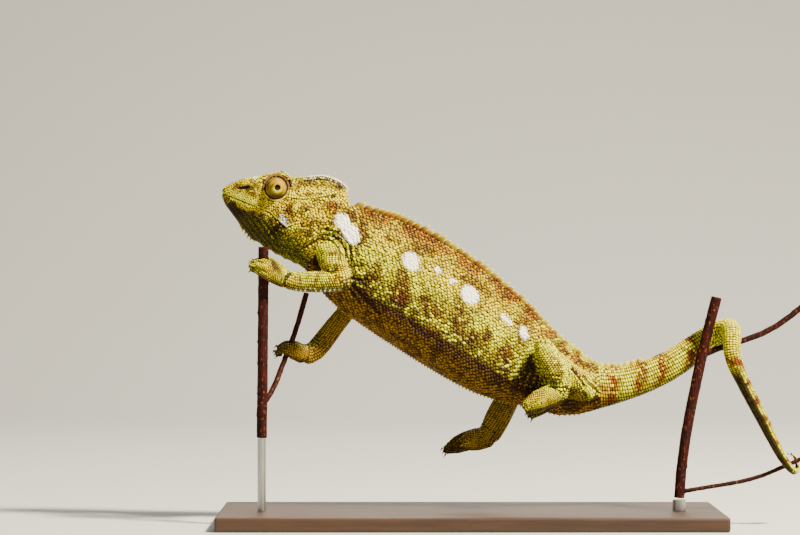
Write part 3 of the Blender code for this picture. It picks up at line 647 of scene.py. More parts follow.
def blob(x, z, spots, soft=0.35):
    """How far inside a set of upright or leaning ovals each point lies, 0 to 1."""
    inside = np.zeros(len(x))
    for cx, cz, wide, tall, *lean in spots:
        angle = lean[0] if lean else 0.0
        u = (x - cx) * math.cos(angle) - (z - cz) * math.sin(angle)
        v = (x - cx) * math.sin(angle) + (z - cz) * math.cos(angle)
        inside = np.maximum(inside, 1 - ease(np.hypot(u / wide, v / tall), 1 - soft, 1 + soft))
    return inside


def height_on_body(points):
    """Height over the middle line, from 1 on the back to -1 under the belly, and place along it."""
    index = spine.nearest(points)
    off = ((points - spine.place[index]) * spine.up[index]).sum(1)
    return off / spine.depth[index], spine.along[index]


def markings(points, normals, whose, deep):
    """Colour at each place, and how white it is. Rust and brown go deep into the gaps, less onto the tops."""
    x, y, z = points.T
    height, along = height_on_body(points)
    fine, mid, wide = clouds(points, 2.2, 1), clouds(points, 6.0, 2), clouds(points, 14.0, 3)
    grain = cloud(points, 0.8, 4)
    colour = np.tile(LIME, (len(points), 1))
    colour = tinted(colour, PALE, ease(fine, 0.35, 0.8) * 0.55)

    # Trunk, neck and hips: orange and gold on the back, pale green flanks, brown low down, an olive belly
    # that is partly painted shade, painted shade in the pit before the thigh and a painted highlight on the
    # fold in front of it.
    trunk = ~(IS_HEAD | IS_TAIL | IS_LIMB)[whose]
    body = tinted(colour, PALE, ease(-height, -0.40, 0.05) * 0.8)
    body = tinted(body, GOLD, ease(height, 0.30, 0.75) * (0.10 + 0.7 * mid))
    body = tinted(body, ORANGE, ease(height, 0.58, 0.90) * ease(clouds(points, 4.5, 13), 0.40, 0.56) * 0.9)
    rust = blob(x + 5 * (mid - 0.5), z + 5 * (fine - 0.5), RUST_PATCHES, 0.4) * ease(fine, 0.22, 0.38)
    rust = np.maximum(rust, ease(clouds(points, 7.0, 9), 0.60, 0.68) * 0.7)
    rust = np.maximum(rust, ease(height, 0.82, 0.93) * ease(clouds(points, 7.0, 12), 0.38, 0.52))
    rust = rust * (0.55 + 0.45 * ease(grain, 0.30, 0.55))
    body = tinted(body, RUST, rust * (0.35 + 0.65 * deep) * 1.1)
    glow = np.exp(-(((height - 0.48) / 0.20) ** 2)) * ease(wide, 0.30, 0.48)
    body = tinted(body, YELLOW, glow * 0.8 * (1 - 0.8 * rust))
    dusk = ease(-height + 0.3 * (wide - 0.5), -0.16, 0.22) * ease(0.5 * fine + 0.5 * grain, 0.36, 0.50)
    body = tinted(body, tinted(BROWN + 0 * body, RUST, ease(mid, 0.4, 0.6)), dusk * (0.35 + 0.65 * deep))
    # Below the lit/shade line the belly is olive and khaki with dark speckles, darkened partly as painted
    # shade, with a painted shadow line along that edge.
    low = ease(-height + 0.12 * (mid - 0.5), 0.33, 0.47)
    keel = ease(-height, 0.52, 0.74)
    belly = tinted(np.tile(OLIVE * (0.85, 0.62, 1.0), (len(points), 1)), KHAKI, keel * 0.9)
    belly = tinted(belly, MAROON, ease(clouds(points, 3.2, 15), 0.50, 0.62) * (0.85 - 0.25 * keel))
    edge = np.exp(-((-height + 0.12 * (mid - 0.5) - 0.42) / 0.07) ** 2)
    belly = tinted(belly, MAROON, edge * 0.5)
    body = body + (belly - body) * low[:, None]
    # Painted shade in the pit between belly and shank, with lighter streaks where its folds catch light.
    pit = groin(points, whose)
    streak = ease(np.sin((x * 0.93 - z * 0.36) * 2.3 + 1.5 * fine), 0.1, 0.8) * ease(-z, -76, -71)
    body = tinted(body, tinted(MAROON * 0.6 + 0 * body, GOLD * 0.6, 0.10 + streak * 0.6), pit)
    # Painted highlight along the lit skin fold in front of the thigh.
    lit_fold_highlight = off_line(points, np.array(((29.0, 86.0), (26.2, 81.6), (23.0, 76.6), (20.4, 72.4))))
    lit_fold_highlight = np.exp(-(lit_fold_highlight / 1.3) ** 2)
    body = tinted(body, tinted(LIME + 0 * body, PALE, fine), lit_fold_highlight * (y < -3) * 0.85)
    ridge = blob(x, z, ((35.0, 95.6, 2.8, 1.3, 0.8), (40.8, 90.0, 2.8, 1.3, 0.8), (48.0, 83.6, 2.8, 1.3, 0.7),
                        (55.2, 79.0, 2.6, 1.2, 0.5)), 0.4)
    body = tinted(body, PALE, ridge * ease(fine, 0.35, 0.5) * 0.85)
    colour = np.where(trunk[:, None], body, colour)

    # Tail: rings of rust, broken up, an olive underside, and painted shade on the side of the hanging part
    # that faces away from the light.
    tail = IS_TAIL[whose]
    rings = np.zeros(len(points))
    bent_x, bent_z = x + 3.5 * (mid - 0.5), z + 3.5 * (mid - 0.5)
    for middle, wide_ring in TAIL_RINGS:
        rings = np.maximum(rings, np.exp(-((bent_x - middle) / wide_ring) ** 2) * (along < 205))
    for middle, wide_ring in TAIL_RINGS_LOW:
        rings = np.maximum(rings, np.exp(-((bent_z - middle) / wide_ring) ** 2) * (x > 118) * (y < -9))
    rings = rings * ease(0.6 * fine + 0.4 * grain, 0.38, 0.52) * 1.4
    tail_colour = tinted(colour, PALE, 0.45 + 0 * x)
    tail_colour = tinted(tail_colour, GOLD, ease(height, 0.1, 0.9) * 0.5 * mid)
    tail_colour = tinted(tail_colour, ORANGE,
                         ease(clouds(points, 4.0, 17), 0.56, 0.68) * 0.6 * ease(-x, -112, -60))
    tail_colour = tinted(tail_colour, 0.6 * RUST + 0.4 * ORANGE, rings * deep)
    tail_colour = tinted(tail_colour, OLIVE, ease(-height, 0.50, 0.90) * 0.8)
    # Painted shade on the lower left side of the hanging tail.
    facing = -normals @ np.array((0.88, 0.0, 0.47))
    tail_painted_shade = ease(facing + 0.3 * (fine - 0.5), -0.42, -0.10) * ease(-z, -80, -70) * (x > 118)
    tail_colour = tinted(tail_colour, tinted(OLIVE * 0.22 + 0 * body, MAROON * 0.5, fine), tail_painted_shade * 0.96)
    colour = np.where(tail[:, None], tail_colour, colour)

    # Legs: lime above, with painted shade below: olive on the faces turned down, dark on the soles and the
    # inner hind bundles. The far legs are painted darker and browner as shade, with a little painted light on
    # their tops.
    limb = IS_LIMB[whose]
    under = ease(-normals[:, 2], -0.1, 0.7)
    near = blob(x, z, ((-66.5, 129.7, 4.4, 0.9), (-63.4, 123.6, 4.6, 0.9), (-73.0, 118.0, 1.2, 3.0, 0.4),
                       (-64.0, 117.5, 1.0, 2.6, 0.4), (36.5, 75.5, 2.2, 1.6), (41.5, 76.4, 3.4, 0.9),
                       (40.0, 80.5, 3.6, 0.8), (41.0, 73.4, 4.0, 0.8)), 0.5) * (y < 0)
    leg_colour = tinted(tinted(colour, PALE, 0.3 + 0 * x), GOLD, 0.5 * ease(mid, 0.35, 0.7))
    leg_colour = tinted(leg_colour, RUST,
                        ease(clouds(points, 4.5, 21), 0.60, 0.70) * 0.6 * (0.4 + 0.6 * grain))
    leg_colour = tinted(leg_colour, RUST, near * 0.85 * (0.5 + 0.5 * ease(grain, 0.3, 0.6)))
    # Painted shade: olive on the faces of the legs that turn down.
    leg_colour = tinted(leg_colour, OLIVE, under * 0.8)
    beads = ease(np.cos(2 * math.pi * x / 2.3), 0.1, 0.7) * (whose == PART["foreleg_left_lower"])
    under_arm = blob(x, z, ((-74.0, 112.4, 13.0, 1.1, 0.0),), 0.3)
    leg_colour = tinted(leg_colour, WHITE * 0.9, beads * under_arm * 0.9)
    # Painted highlight along the lit ridge at the back of the near shank.
    shin_highlight_line = off_line(points, np.array(((36.8, 88.1), (42.5, 79.2), (48.7, 70.6))))
    leg_colour = tinted(leg_colour, PALE, np.exp(-(shin_highlight_line / 0.9) ** 2) * (y < 0) * 0.8)
    # Painted shadow: a dark band on the near hand between the finger bundle in front of the stem and the one
    # behind.
    between = blob(x, z, ((-92.4, 123.4, 1.3, 4.8, -0.63),), 0.4) * (y < -8)
    leg_colour = tinted(leg_colour, MAROON, between * 0.85)
    # Painted shade: the far legs take a darker, browner colour, and a painted highlight of lime on their
    # upward faces.
    far = tinted(np.tile(np.array(paint(0.54, 0.35, 0.02)), (len(points), 1)), BROWN,
                 ease(clouds(points, 5.0, 22), 0.45, 0.70) * 0.6)
    far = tinted(far, LIME, 0.15 + 0.15 * ease(normals[:, 2], 0.0, 0.8))
    leg_colour = np.where(IS_FAR[whose][:, None], far, leg_colour)
    # Painted shade on the undersides of the feet and on the inner toe bundles of the hind feet, which lie
    # behind the outer ones.
    sole_shade = np.where(IS_FOOT[whose], ease(-normals[:, 2], 0.35, 0.8), 0)
    leg_colour = tinted(leg_colour, MAROON, sole_shade * 0.7)
    leg_colour = tinted(leg_colour, MAROON, (whose == PART["hindfoot_left_inner"]) * 0.75)
    leg_colour = tinted(leg_colour, MAROON, (whose == PART["hindfoot_right_inner"]) * 0.45)
    colour = np.where(limb[:, None], leg_colour, colour)
    cream = blob(x, z, ((-69.6, 134.0, 4.6, 1.3, -0.1), (-73.0, 131.0, 1.4, 1.4)), 0.5) * (y < -4)
    colour = tinted(colour, PALE, cream * 0.9)

    # Head: golden temple, pale lips, dark freckles round the nostril and mouth, streaked olive throat, a
    # painted shadow under the casque crests and painted shade on the lower part of each turret.
    head = IS_HEAD[whose]
    face = tinted(np.tile(LIME, (len(points), 1)), GOLD, 0.25 + 0.5 * mid)
    face = tinted(face, OLIVE * 1.6, ease(clouds(points, 3.4, 35), 0.46, 0.60) * 0.75)
    face = tinted(face, YELLOW, ease(clouds(points, 5.0, 31), 0.42, 0.56) * 0.9)
    face = tinted(face, YELLOW, blob(x, z, ((-71.6, 147.6, 5.4, 2.8, 0.64), (-79.0, 155.0, 6.0, 2.6, 0.3),
                                            (-90.5, 152.5, 4.0, 2.5)), 0.5) * 0.9)
    face = tinted(face, ORANGE * 0.55, blob(x, z, ((-78.8, 158.2, 6.8, 1.6, 0.35), (-86.5, 149.0, 3.0, 4.0),
                                            (-112.6, 162.6, 3.4, 1.8), (-66.0, 152.0, 4.0, 3.0)), 0.6)
                  * ease(clouds(points, 1.8, 42), 0.38, 0.52) * 0.95)
    freckled = blob(x, z, ((-76.5, 141.5, 7.0, 6.0), (-84.0, 150.0, 4.6, 4.8),
                           (-104.0, 161.0, 4.0, 4.0)), 0.5)
    freckles = np.maximum(0.75 * ease(clouds(points, 1.9, 33), 0.52, 0.64),
                          freckled * ease(clouds(points, 1.5, 34), 0.42, 0.56))
    face = tinted(face, BROWN, freckles * (0.25 + 0.75 * deep) * 0.9)
    cheek = blob(x, z, ((-72.0, 148.4, 4.6, 2.6, 0.64),), 0.5)
    face = tinted(face, YELLOW * 1.2, cheek * (0.85 - 0.5 * freckles))
    from_mouth = off_line(points, MOUTH)
    line_z = np.interp(x, MOUTH[:, 0], MOUTH[:, 1])
    below = line_z - z
    bright = blob(x, z, ((-107.2, 155.4, 7.0, 2.5, 0.38),), 0.45)
    face = tinted(face, PALE, bright * 0.85 * (1 - 0.6 * freckles))
    face = tinted(face, PALE, np.exp(-((from_mouth - 0.6) / 0.5) ** 2) * (x < -109) * (z > line_z))
    face = tinted(face, PALE, np.exp(-(off_line(points, np.array(SNOUT_RIDGE)) / 0.7) ** 2)
                  * ease(clouds(points, 1.2, 36), 0.35, 0.5) * 0.8)
    face = tinted(face, WHITE, blob(x, z, ((-103.0, 166.0, 1.2, 0.9),)))
    face = tinted(face, PALE, blob(x, z, ((-83.2, 151.2, 1.6, 1.6), (-73.8, 162.0, 1.2, 1.1),
                                          (-69.3, 161.3, 1.4, 1.2), (-69.0, 158.9, 1.3, 1.0),
                                          (-84.7, 142.4, 2.2, 1.7), (-78.0, 149.0, 0.9, 0.9))) * 0.9)
    speckled = tinted(face, BROWN, 0.35 + 0 * x)
    speckled = tinted(speckled, MAROON, ease(clouds(points, 1.6, 37), 0.48, 0.58) * 0.9)
    near_lip = ease(below + 1.4 * (mid - 0.5), 0.6, 2.4)
    face = face + (speckled - face) * (near_lip * ease(-x, 84, 90))[:, None]
    jaw = np.tile(np.array(paint(0.36, 0.34, 0.03)), (len(points), 1))
    jaw = tinted(jaw, LIME, 0.40 * ease(x, -104, -86))
    streaks = ease(throat_fold(x + 0.9 * (fine - 0.5), z), -0.3, 0.6)
    jaw = tinted(jaw, MAROON * 0.7, streaks * (0.75 - 0.3 * ease(x, -100, -88)))
    jaw = tinted(jaw, MAROON, blob(x, z, ((-112.0, 150.5, 4.5, 3.6, 0.5),
                                          (-94.0, 138.5, 3.6, 2.0, 0.3)), 0.5) * 0.75)
    throat = ease(below + 2.0 * (mid - 0.5), 2.6, 4.6) * ease(-x - 0.5 * (z - 140) + 3 * (mid - 0.5), 80, 86)
    face = face + (jaw - face) * throat[:, None]
    corner = blob(x, z, ((-92.4, 141.5, 3.6, 5.4, 0.6),), 0.5) * ease(below, -0.2, 0.4)
    face = tinted(face, MAROON, corner * ease(0.5 * fine + 0.5 * grain, 0.40, 0.52) * 0.85)
    face = tinted(face, PALE, corner * ease(clouds(points, 1.3, 38), 0.58, 0.66) * 0.8)
    seam = np.exp(-((from_mouth - 0.75) / 0.4) ** 2) * (z > line_z) * (x > -96.5) * (x < -86)
    face = tinted(face, PALE, seam * 0.9)
    face = tinted(face, WHITE, blob(x, z, ((-89.0, 145.6, 1.5, 3.0, -0.5),), 0.3) * (z > line_z) * 0.95)
    # Painted shadow: a dark line under each overhanging casque crest.
    casque_shadow_line = off_line(points, np.array(UNDER_CASQUE))
    face = tinted(face, MAROON * 0.7, np.exp(-(casque_shadow_line / 0.75) ** 2) * (np.abs(y) > 2.0))
    crown = np.exp(-(off_line(points, np.array(CASQUE_RIDGE)) / 0.8) ** 2) * ease(x, -80.0, -76.0)
    face = tinted(face, WHITE * 1.2, crown * (0.55 + 0.45 * ease(grain, 0.25, 0.55)))
    face = tinted(face, MAROON, blob(x, z, ((-62.4, 161.8, 1.7, 0.9, 0.3), (-71.8, 158.0, 1.1, 0.8),
                                            (-68.4, 157.4, 1.1, 0.7), (-65.4, 157.2, 0.9, 0.7)), 0.4))
    face = tinted(face, MAROON * 0.4, 1 - ease(nostril(x, z), 0.85, 1.25))
    from_eye = np.hypot(x - TURRET[0], z - TURRET[1])
    upper = ease(z - TURRET[1], -2.5, 1.0)
    turret = (from_eye < 7.15) & (np.abs(y) > 4.0)
    ring = tinted(np.tile(YELLOW * (0.52, 0.42, 0.0), (len(points), 1)), LIME * 0.45, 0.30 * fine + 0 * x)
    # Painted shade: the lower part of the turret turns brown.
    ring = tinted(ring, BROWN, ease(-(z - TURRET[1]), 1.4, 4.2) * 0.85)
    ring = tinted(ring, MAROON * 0.4, ease(from_eye, 4.95, 5.15) * (0.6 + 0.4 * upper))
    ring = tinted(ring, np.array(paint(0.52, 0.34, 0.10)), ease(from_eye, 5.65, 5.85) * upper)
    ring = tinted(ring, MAROON * 0.4, ease(from_eye, 6.35, 6.5) * upper)
    face = np.where((turret & ((from_eye < 5.75) | (upper > 0.3)))[:, None], ring, face)
    brow = (np.abs(from_eye - 7.95) < 0.9) * (z > TURRET[1] + 1)
    brow_colour = tinted(ORANGE + 0 * face, PALE, 0.3 + 0.7 * ease(clouds(points, 2.0, 39), 0.4, 0.6))
    face = tinted(face, brow_colour, brow * 0.9)
    colour = np.where(head[:, None], face, colour)

    # Painted shade in the bottoms of folds and a painted highlight of yellow on their crests.
    fold = creases(points)
    colour = tinted(colour, MAROON, ease(fold, 0.08, 0.5) * 0.85)
    colour = tinted(colour, PALE, ease(-fold, 0.12, 0.5) * 0.55)

    # White spots, on both flanks.
    side = np.abs(y) > 4.0
    white = blob(x + 0.9 * (grain - 0.5), z + 0.9 * (fine - 0.5), WHITE_SPOTS, 0.18) * side
    halo = blob(x, z, [(a, b, w * 1.9 + 0.5, t * 1.6 + 0.5, *l) for a, b, w, t, *l in WHITE_SPOTS[:5]], 0.3)
    halo = halo * side * ease(clouds(points, 3.0, 41), 0.45, 0.65)
    colour = tinted(colour, RUST, halo * 0.8 * deep * (1 - white))
    depth_of_tone = np.where(trunk, 0.84 - 0.14 * ease(height, 0.3, 0.7), np.where(head, 0.80, 0.95))
    colour = tinted(colour * depth_of_tone[:, None], WHITE, white)
    return colour, white


def set_colours(mesh, colours):
    """Stores a colour for each vertex, which the materials read."""
    layer = mesh.color_attributes.new("markings", "FLOAT_COLOR", "POINT")
    full = np.ones((len(colours), 4), np.float32)
    full[:, :3] = colours
    layer.data.foreach_set("color", full.ravel())


hide_colour, white = markings(spots, normals_of(hide_mesh), whose, deep=1.0)
# The hide shows only in the gaps between scales: dark skin, darkened further as painted shade.
gap_colour = np.array(paint(0.13, 0.08, 0.02))
shade = tinted(hide_colour * 0.12, gap_colour, 0.55 + 0 * white)
set_colours(hide_mesh, shade + (hide_colour * 0.8 - shade) * white[:, None])

hide_finish = Finish("hide", 0.7, specular=0.2)
tint = hide_finish.node("ShaderNodeVertexColor", {"layer_name": "markings"})
hide_finish.set("Base Color", hide_finish.mix(
    hide_finish.noise(0.0008, 2.0) * 0.5, tint, hide_finish.mix(0.5, tint, paint(0.12, 0.07, 0.03))))
hide_finish.bump(hide_finish.noise(0.0005, 3.0), 0.00012, 0.8)
hide_mesh.materials.append(hide_finish.material)
hide_mesh.shade_smooth()
hide = bpy.data.objects.new("hide", hide_mesh)
bpy.context.scene.collection.objects.link(hide)
thinner = hide.modifiers.new("thinner", "DECIMATE")
thinner.ratio = THINNED
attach(hide, "root")
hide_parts(*flesh_names)


# Scales: low domes set edge to edge, in rows that run along the trunk, in rings round the tail and
# legs, and as fine grains on the face and feet. Tiny grains fill what is left open between them.
hide_tree = BVHTree.FromPolygons([Vector(s) for s in spots * MM],
                                 [list(f.vertices) for f in hide_mesh.polygons])
chance = np.random.default_rng(7)
CELL = 1.6  # side of the cubes that roots are looked up in, wider than any gap asked for


class Roots:
    """Places for scales, with what each one needs: place, normal, lie, half length, half width, height."""

    def __init__(self):
        self.rows = []
        self.cells = {}

    def cell(self, place):
        return tuple(int(math.floor(c / CELL)) for c in place)

    def clear(self, place, gap):
        """True where no root is nearer than gap."""
        a, b, c = self.cell(place)
        for i in (a - 1, a, a + 1):
            for j in (b - 1, b, b + 1):
                for k in (c - 1, c, c + 1):
                    for other in self.cells.get((i, j, k), ()):
                        if (other - place).length_squared < gap * gap:
                            return False
        return True

    def add(self, place, normal, lie, length, width, tall):
        self.cells.setdefault(self.cell(place), []).append(place)
        self.rows.append((*place, *normal, *lie, length, width, tall))


roots = Roots()


def belongs(place):
    """The number of the flesh solid nearest to one place."""
    return owner_of[owners.find_nearest(place * MM)[2]]


def trail_down(course, along, hand, rays, lean):
    """Hits on the hide round one side of a middle line, from the top down, with the distance run."""
    middle, ahead, up, side, depth = course.at(along)
    trail = []
    for step in range(rays + 1):
        turn = math.pi * step / rays
        way = up * math.cos(turn) + side * (hand * math.sin(turn))
        start = middle + ahead * (lean * depth * math.cos(turn))
        hit = hide_tree.ray_cast(start * MM, way, depth * 1.7 * MM)
        if hit[0] is not None:
            trail.append((hit[0] / MM, hit[1]))
    run = np.cumsum([0.0] + [(b[0] - a[0]).length for a, b in zip(trail, trail[1:])])
    return trail, run, ahead


LONGEST_LEAP = 3.0  # two hits in a row that are further apart lie on different limbs


def rows_round(course, allowed, pitch_of, stretch, loose, rays=72, ringed=False, lean=0.0):
    """Scales round a middle line in rows that run along it, or in plain rings."""
    along, ring = 0.0, 0
    while along < course.along[-1]:
        pitch = pitch_of(course.at(along)[4])
        gap = pitch if ringed else pitch * 1.73
        for hand in (-1.0, 1.0):
            trail, run, ahead = trail_down(course, along, hand, rays, lean)
            if len(trail) < 8:
                continue
            first = 0.5 * gap if ringed else (0.25 + 0.5 * (ring % 2)) * gap
            for down in np.arange(first, run[-1], gap):
                down = min(max(down + loose * pitch * (chance.random() - 0.5), 0.05), run[-1] - 0.01)
                k = int(np.searchsorted(run, down) - 1)
                leap = trail[k + 1][0] - trail[k][0]
                place = trail[k][0] + leap * ((down - run[k]) / max(run[k + 1] - run[k], 1e-6))
                place = place + ahead * (loose * pitch * (chance.random() - 0.5))
                room = pitch * min(0.72, 0.78 * stretch)
                if leap.length > LONGEST_LEAP or belongs(place) not in allowed:
                    continue
                if not roots.clear(place, room):
                    continue
                normal = (trail[k][1] + trail[k + 1][1]).normalized()
                grow = 1 + 0.7 * loose * (chance.random() - 0.45)
                half = (0.55, 0.55) if ringed else (0.54, 0.53)
                roots.add(place, normal, ahead, pitch * half[0] * stretch * grow, pitch * half[1] * grow,
                          0.30 * pitch * grow * min(stretch, 1.0))
        along += pitch * stretch * (1.0 if ringed else 0.5)
        ring += 1


def body_pitch(depth):
    """Spacing of the scales where the body is this deep."""
    return float(np.interp(depth, (0.5, 3.0, 8.0, 16.0), (0.62, 1.0, 1.25, 1.32)))


def tail_pitch(depth):
    """Spacing of the rings where the tail is this deep."""
    return float(np.interp(depth, (0.5, 3.0, 8.0), (0.80, 1.25, 1.80)))


LEG_PITCH = 1.45
FOOT_PITCH = 1.05
body_parts = {PART[n] for n in ("neck", "trunk", "hips")}
tail_parts = {PART[n] for n in flesh_names if n.startswith("tail")}
rows_round(spine, body_parts, body_pitch, stretch=1.40, loose=0.46)
rows_round(spine, tail_parts, tail_pitch, stretch=0.64, loose=0.12, rays=48, ringed=True)
for name, course in courses.items():
    pitch, stretch = (FOOT_PITCH, 0.80) if "foot" in name else (LEG_PITCH, 0.72)
    rows_round(course, {PART[name]}, lambda depth: pitch, stretch, loose=0.12, rays=36, ringed=True,
               lean=0.45)


def head_size(place):
    """Pitch of the scales on the head, finest on the snout."""
    return float(np.interp(place.x, (-112.0, -98.0, -82.0), (0.72, 0.85, 1.15)))


TRIES = 3.2  # places tried for each square millimetre of hide
HEAD_TRIES = 4.0  # how many times more are tried on the head, whose scales are smaller


def scatter(close, size):
    """Fills what is left open, the head above all, with scales of one size set as close as they go."""
    flat = np.array([v for f in hide_mesh.polygons for v in f.vertices[:3]]).reshape(-1, 3)
    quad = np.array([len(f.vertices) == 4 for f in hide_mesh.polygons])
    last = np.array([f.vertices[len(f.vertices) - 1] for f in hide_mesh.polygons])
    faces = np.concatenate((flat, np.stack((flat[quad, 0], flat[quad, 2], last[quad]), 1)))
    a, b, c = (spots[faces[:, k]] for k in range(3))
    across = np.cross(b - a, c - a)
    area = np.linalg.norm(across, axis=1) / 2
    weight = area * np.where(IS_HEAD[whose[faces[:, 0]]], HEAD_TRIES, 1.0)
    tries = int(weight.sum() * TRIES)
    pick = chance.choice(len(faces), tries, p=weight / weight.sum())
    one, two = np.sqrt(chance.random(tries)), chance.random(tries)
    places = (a[pick] * (1 - one)[:, None] + b[pick] * (one * (1 - two))[:, None]
              + c[pick] * (one * two)[:, None])
    normals = unit(across[pick])
    regions = whose[faces[pick, 0]]
    for place, normal, region in zip(places, normals, regions):
        place = Vector(place)
        name = flesh_names[region]
        if IS_HEAD[region]:
            pitch = head_size(place)
            if in_eye(place) or in_mouth(place):
                continue
            lie = Vector((1.0, 0.0, 0.0))
        elif name in courses:
            pitch = FOOT_PITCH if "foot" in name else LEG_PITCH
            lie = Vector(courses[name].ahead[len(courses[name].ahead) // 2])
        else:
            i = spine.nearest(np.array([place]))[0]
            pitch = body_pitch(spine.depth[i])
            lie = Vector(spine.ahead[i])
        if roots.clear(place, pitch * close):
            roots.add(place, Vector(normal), lie, pitch * size, pitch * size, 0.62 * size * pitch)


def in_eye(place):
    """True on the turret, which has rings of grains of its own."""
    return abs(place.y) > 4.5 and math.hypot(place.x - TURRET[0], place.z - TURRET[1]) < 6.75


def in_mouth(place):
    """True in the groove between the lips and in the nostril."""
    width = 0.22 if place.x < -97 else 0.42
    between_lips = place.x < -86 and off_line(np.array([place]), MOUTH)[0] < width
    return between_lips or nostril(place.x, place.z) < 1.2


def bead_row(line, pitch, size, tall):
    """Beads along a line of x and z on both sides of the head."""
    line = np.array(line)
    run = run_of(line)
    for along in np.arange(0.0, run[-1], pitch):
        x, z = (np.interp(along, run, line[:, k]) for k in (0, 1))
        for hand in (-1.0, 1.0):
            hit = hide_tree.ray_cast(Vector((x, hand * 20.0, z)) * MM, Vector((0.0, -hand, 0.0)))
            if hit[0] is None or not roots.clear(hit[0] / MM, pitch * 0.6):
                continue
            i = min(np.searchsorted(run, along, "right"), len(line) - 1)
            way = line[i] - line[i - 1]
            lie = Vector((way[0], 0.0, way[1])).normalized()
            roots.add(hit[0] / MM, hit[1], lie, size, size * 0.92, tall)


def arc(centre, radius, start, end):
    """Points of x and z on part of a circle, from one angle in degrees to another."""
    turns = np.radians(np.linspace(start, end, 12))
    return [(centre[0] + radius * math.cos(t), centre[1] + radius * math.sin(t)) for t in turns]


def beside(line, off):
    """The same line of x and z moved to its upper side."""
    line = np.array(line)
    slope = unit(np.gradient(line, axis=0))
    return line + off * np.stack((-slope[:, 1], slope[:, 0]), 1)


# Ridges of beads: casque, brow, snout, temple, lips and the corner of the mouth.
bead_row(CASQUE_RIDGE, 1.05, 0.62, 0.75)
bead_row(arc(TURRET, 7.95, 158, 15), 1.5, 0.78, 0.85)
bead_row(SNOUT_RIDGE, 1.1, 0.60, 0.50)
bead_row(TEMPLE_RIDGE, 1.3, 0.70, 0.55)
bead_row(beside(MOUTH[:4], 0.75), 0.8, 0.44, 0.30)
bead_row(beside(MOUTH[3:], 1.1), 1.0, 0.60, 0.55)
bead_row(((-83.2, 151.2), (-82.9, 151.1)), 2.0, 1.25, 0.6)

# Rings of fine grains on each turret, out from the lids: radius and spacing.
TURRET_RINGS = ((2.75, 0.46), (3.2, 0.48), (3.6, 0.5), (4.0, 0.5), (4.4, 0.5), (4.78, 0.5), (6.1, 0.66))
for hand in (-1.0, 1.0):
    for radius, pitch in TURRET_RINGS:
        count = int(2 * math.pi * radius / pitch)
        for i in range(count):
            turn = 2 * math.pi * (i + 0.5 * (round(radius / 0.45) % 2)) / count
            shift = 1 - ease(radius, 3.0, 4.6)
            x = TURRET[0] + (EYE[0] - TURRET[0]) * shift + radius * math.cos(turn)
            z = TURRET[1] + (EYE[1] - TURRET[1]) * shift + radius * math.sin(turn)
            hit = hide_tree.ray_cast(Vector((x, hand * 18.0, z)) * MM, Vector((0.0, -hand, 0.0)))
            lie = Vector((-math.sin(turn), 0.0, math.cos(turn)))
            roots.add(hit[0] / MM, hit[1], lie, pitch * 0.54, pitch * 0.5, 0.07)

# Larger tubercles strewn over temple, cheek and casque.
for i in range(900):
    hand = -1.0 if i % 2 else 1.0
    x, z = -92.0 + 33.0 * chance.random(), 140.0 + 26.0 * chance.random()
    hit = hide_tree.ray_cast(Vector((x, hand * 20.0, z)) * MM, Vector((0.0, -hand, 0.0)))
    if hit[0] is None:
        continue
    place = hit[0] / MM
    if not IS_HEAD[belongs(place)] or in_eye(place) or in_mouth(place) or not roots.clear(place, 1.35):
        continue
    size = 0.66 + 0.30 * chance.random()
    roots.add(place, hit[1], Vector((1.0, 0.0, 0.0)), size, size * 0.92, 0.62)

scatter(close=0.86, size=0.47)

# Each scale grows until it meets its neighbours.
table = np.array(roots.rows)
near_roots = KDTree(len(table))
for i, row in enumerate(table):
    near_roots.insert(row[:3], i)
near_roots.balance()
root_whose = owner(table[:, 0:3])
most = np.where(IS_HEAD[root_whose], 1.55, 1.15)
most[IS_HEAD[root_whose] & (nostril(table[:, 0], table[:, 2]) < 2.2)] = 1.0
for i, row in enumerate(table):
    gaps = [found[2] for found in near_roots.find_n(row[:3], 7)[1:]]
    row[9:11] *= min(max(1.04 * sum(gaps) / 6 / (row[9] + row[10]), 0.92), most[i])
grown = len(table)

# Small grains fill the gaps between them.
scatter(close=0.60, size=0.30)
table = np.vstack((table, np.array(roots.rows[grown:])))
root_whose = owner(table[:, 0:3])
root_place, root_normal, root_lie = table[:, 0:3], unit(table[:, 3:6]), table[:, 6:9]
root_size = table[:, 9:12]
root_colour, root_white = markings(root_place, root_normal, root_whose, deep=0.78)

# No two scales are equally bright: some on the body are dull, and the grains between are darker.
luck = chance.random((2, len(table)))
dull = np.where((luck[0] < 0.16) & ~IS_HEAD[root_whose], 0.42, 0.0) + 0.40 * (luck[1] - 0.5)
dull = dull + 0.52 * (np.arange(len(table)) >= grown)
root_colour = root_colour * (1 - dull * (1 - root_white))[:, None]
turret = IS_HEAD[root_whose] & (np.hypot(root_place[:, 0] - TURRET[0], root_place[:, 2] - TURRET[1]) < 5.1)
turret &= np.abs(root_place[:, 1]) > 4.5
root_even = np.maximum(root_white, 0.85 * turret)  # scales whose edges are as light as their tops


def unwrap(places):
    """A flat place for each root: along the middle line and round it."""
    index = spine.nearest(places)
    turn = spine.turn(places, index)
    return np.stack((spine.along[index], turn), 1)


def spread(flat):
    """Fits flat places into the unit square."""
    low, high = flat.min(0), flat.max(0)
    return 0.01 + 0.98 * (flat - low) / np.maximum(high - low, 1e-6)


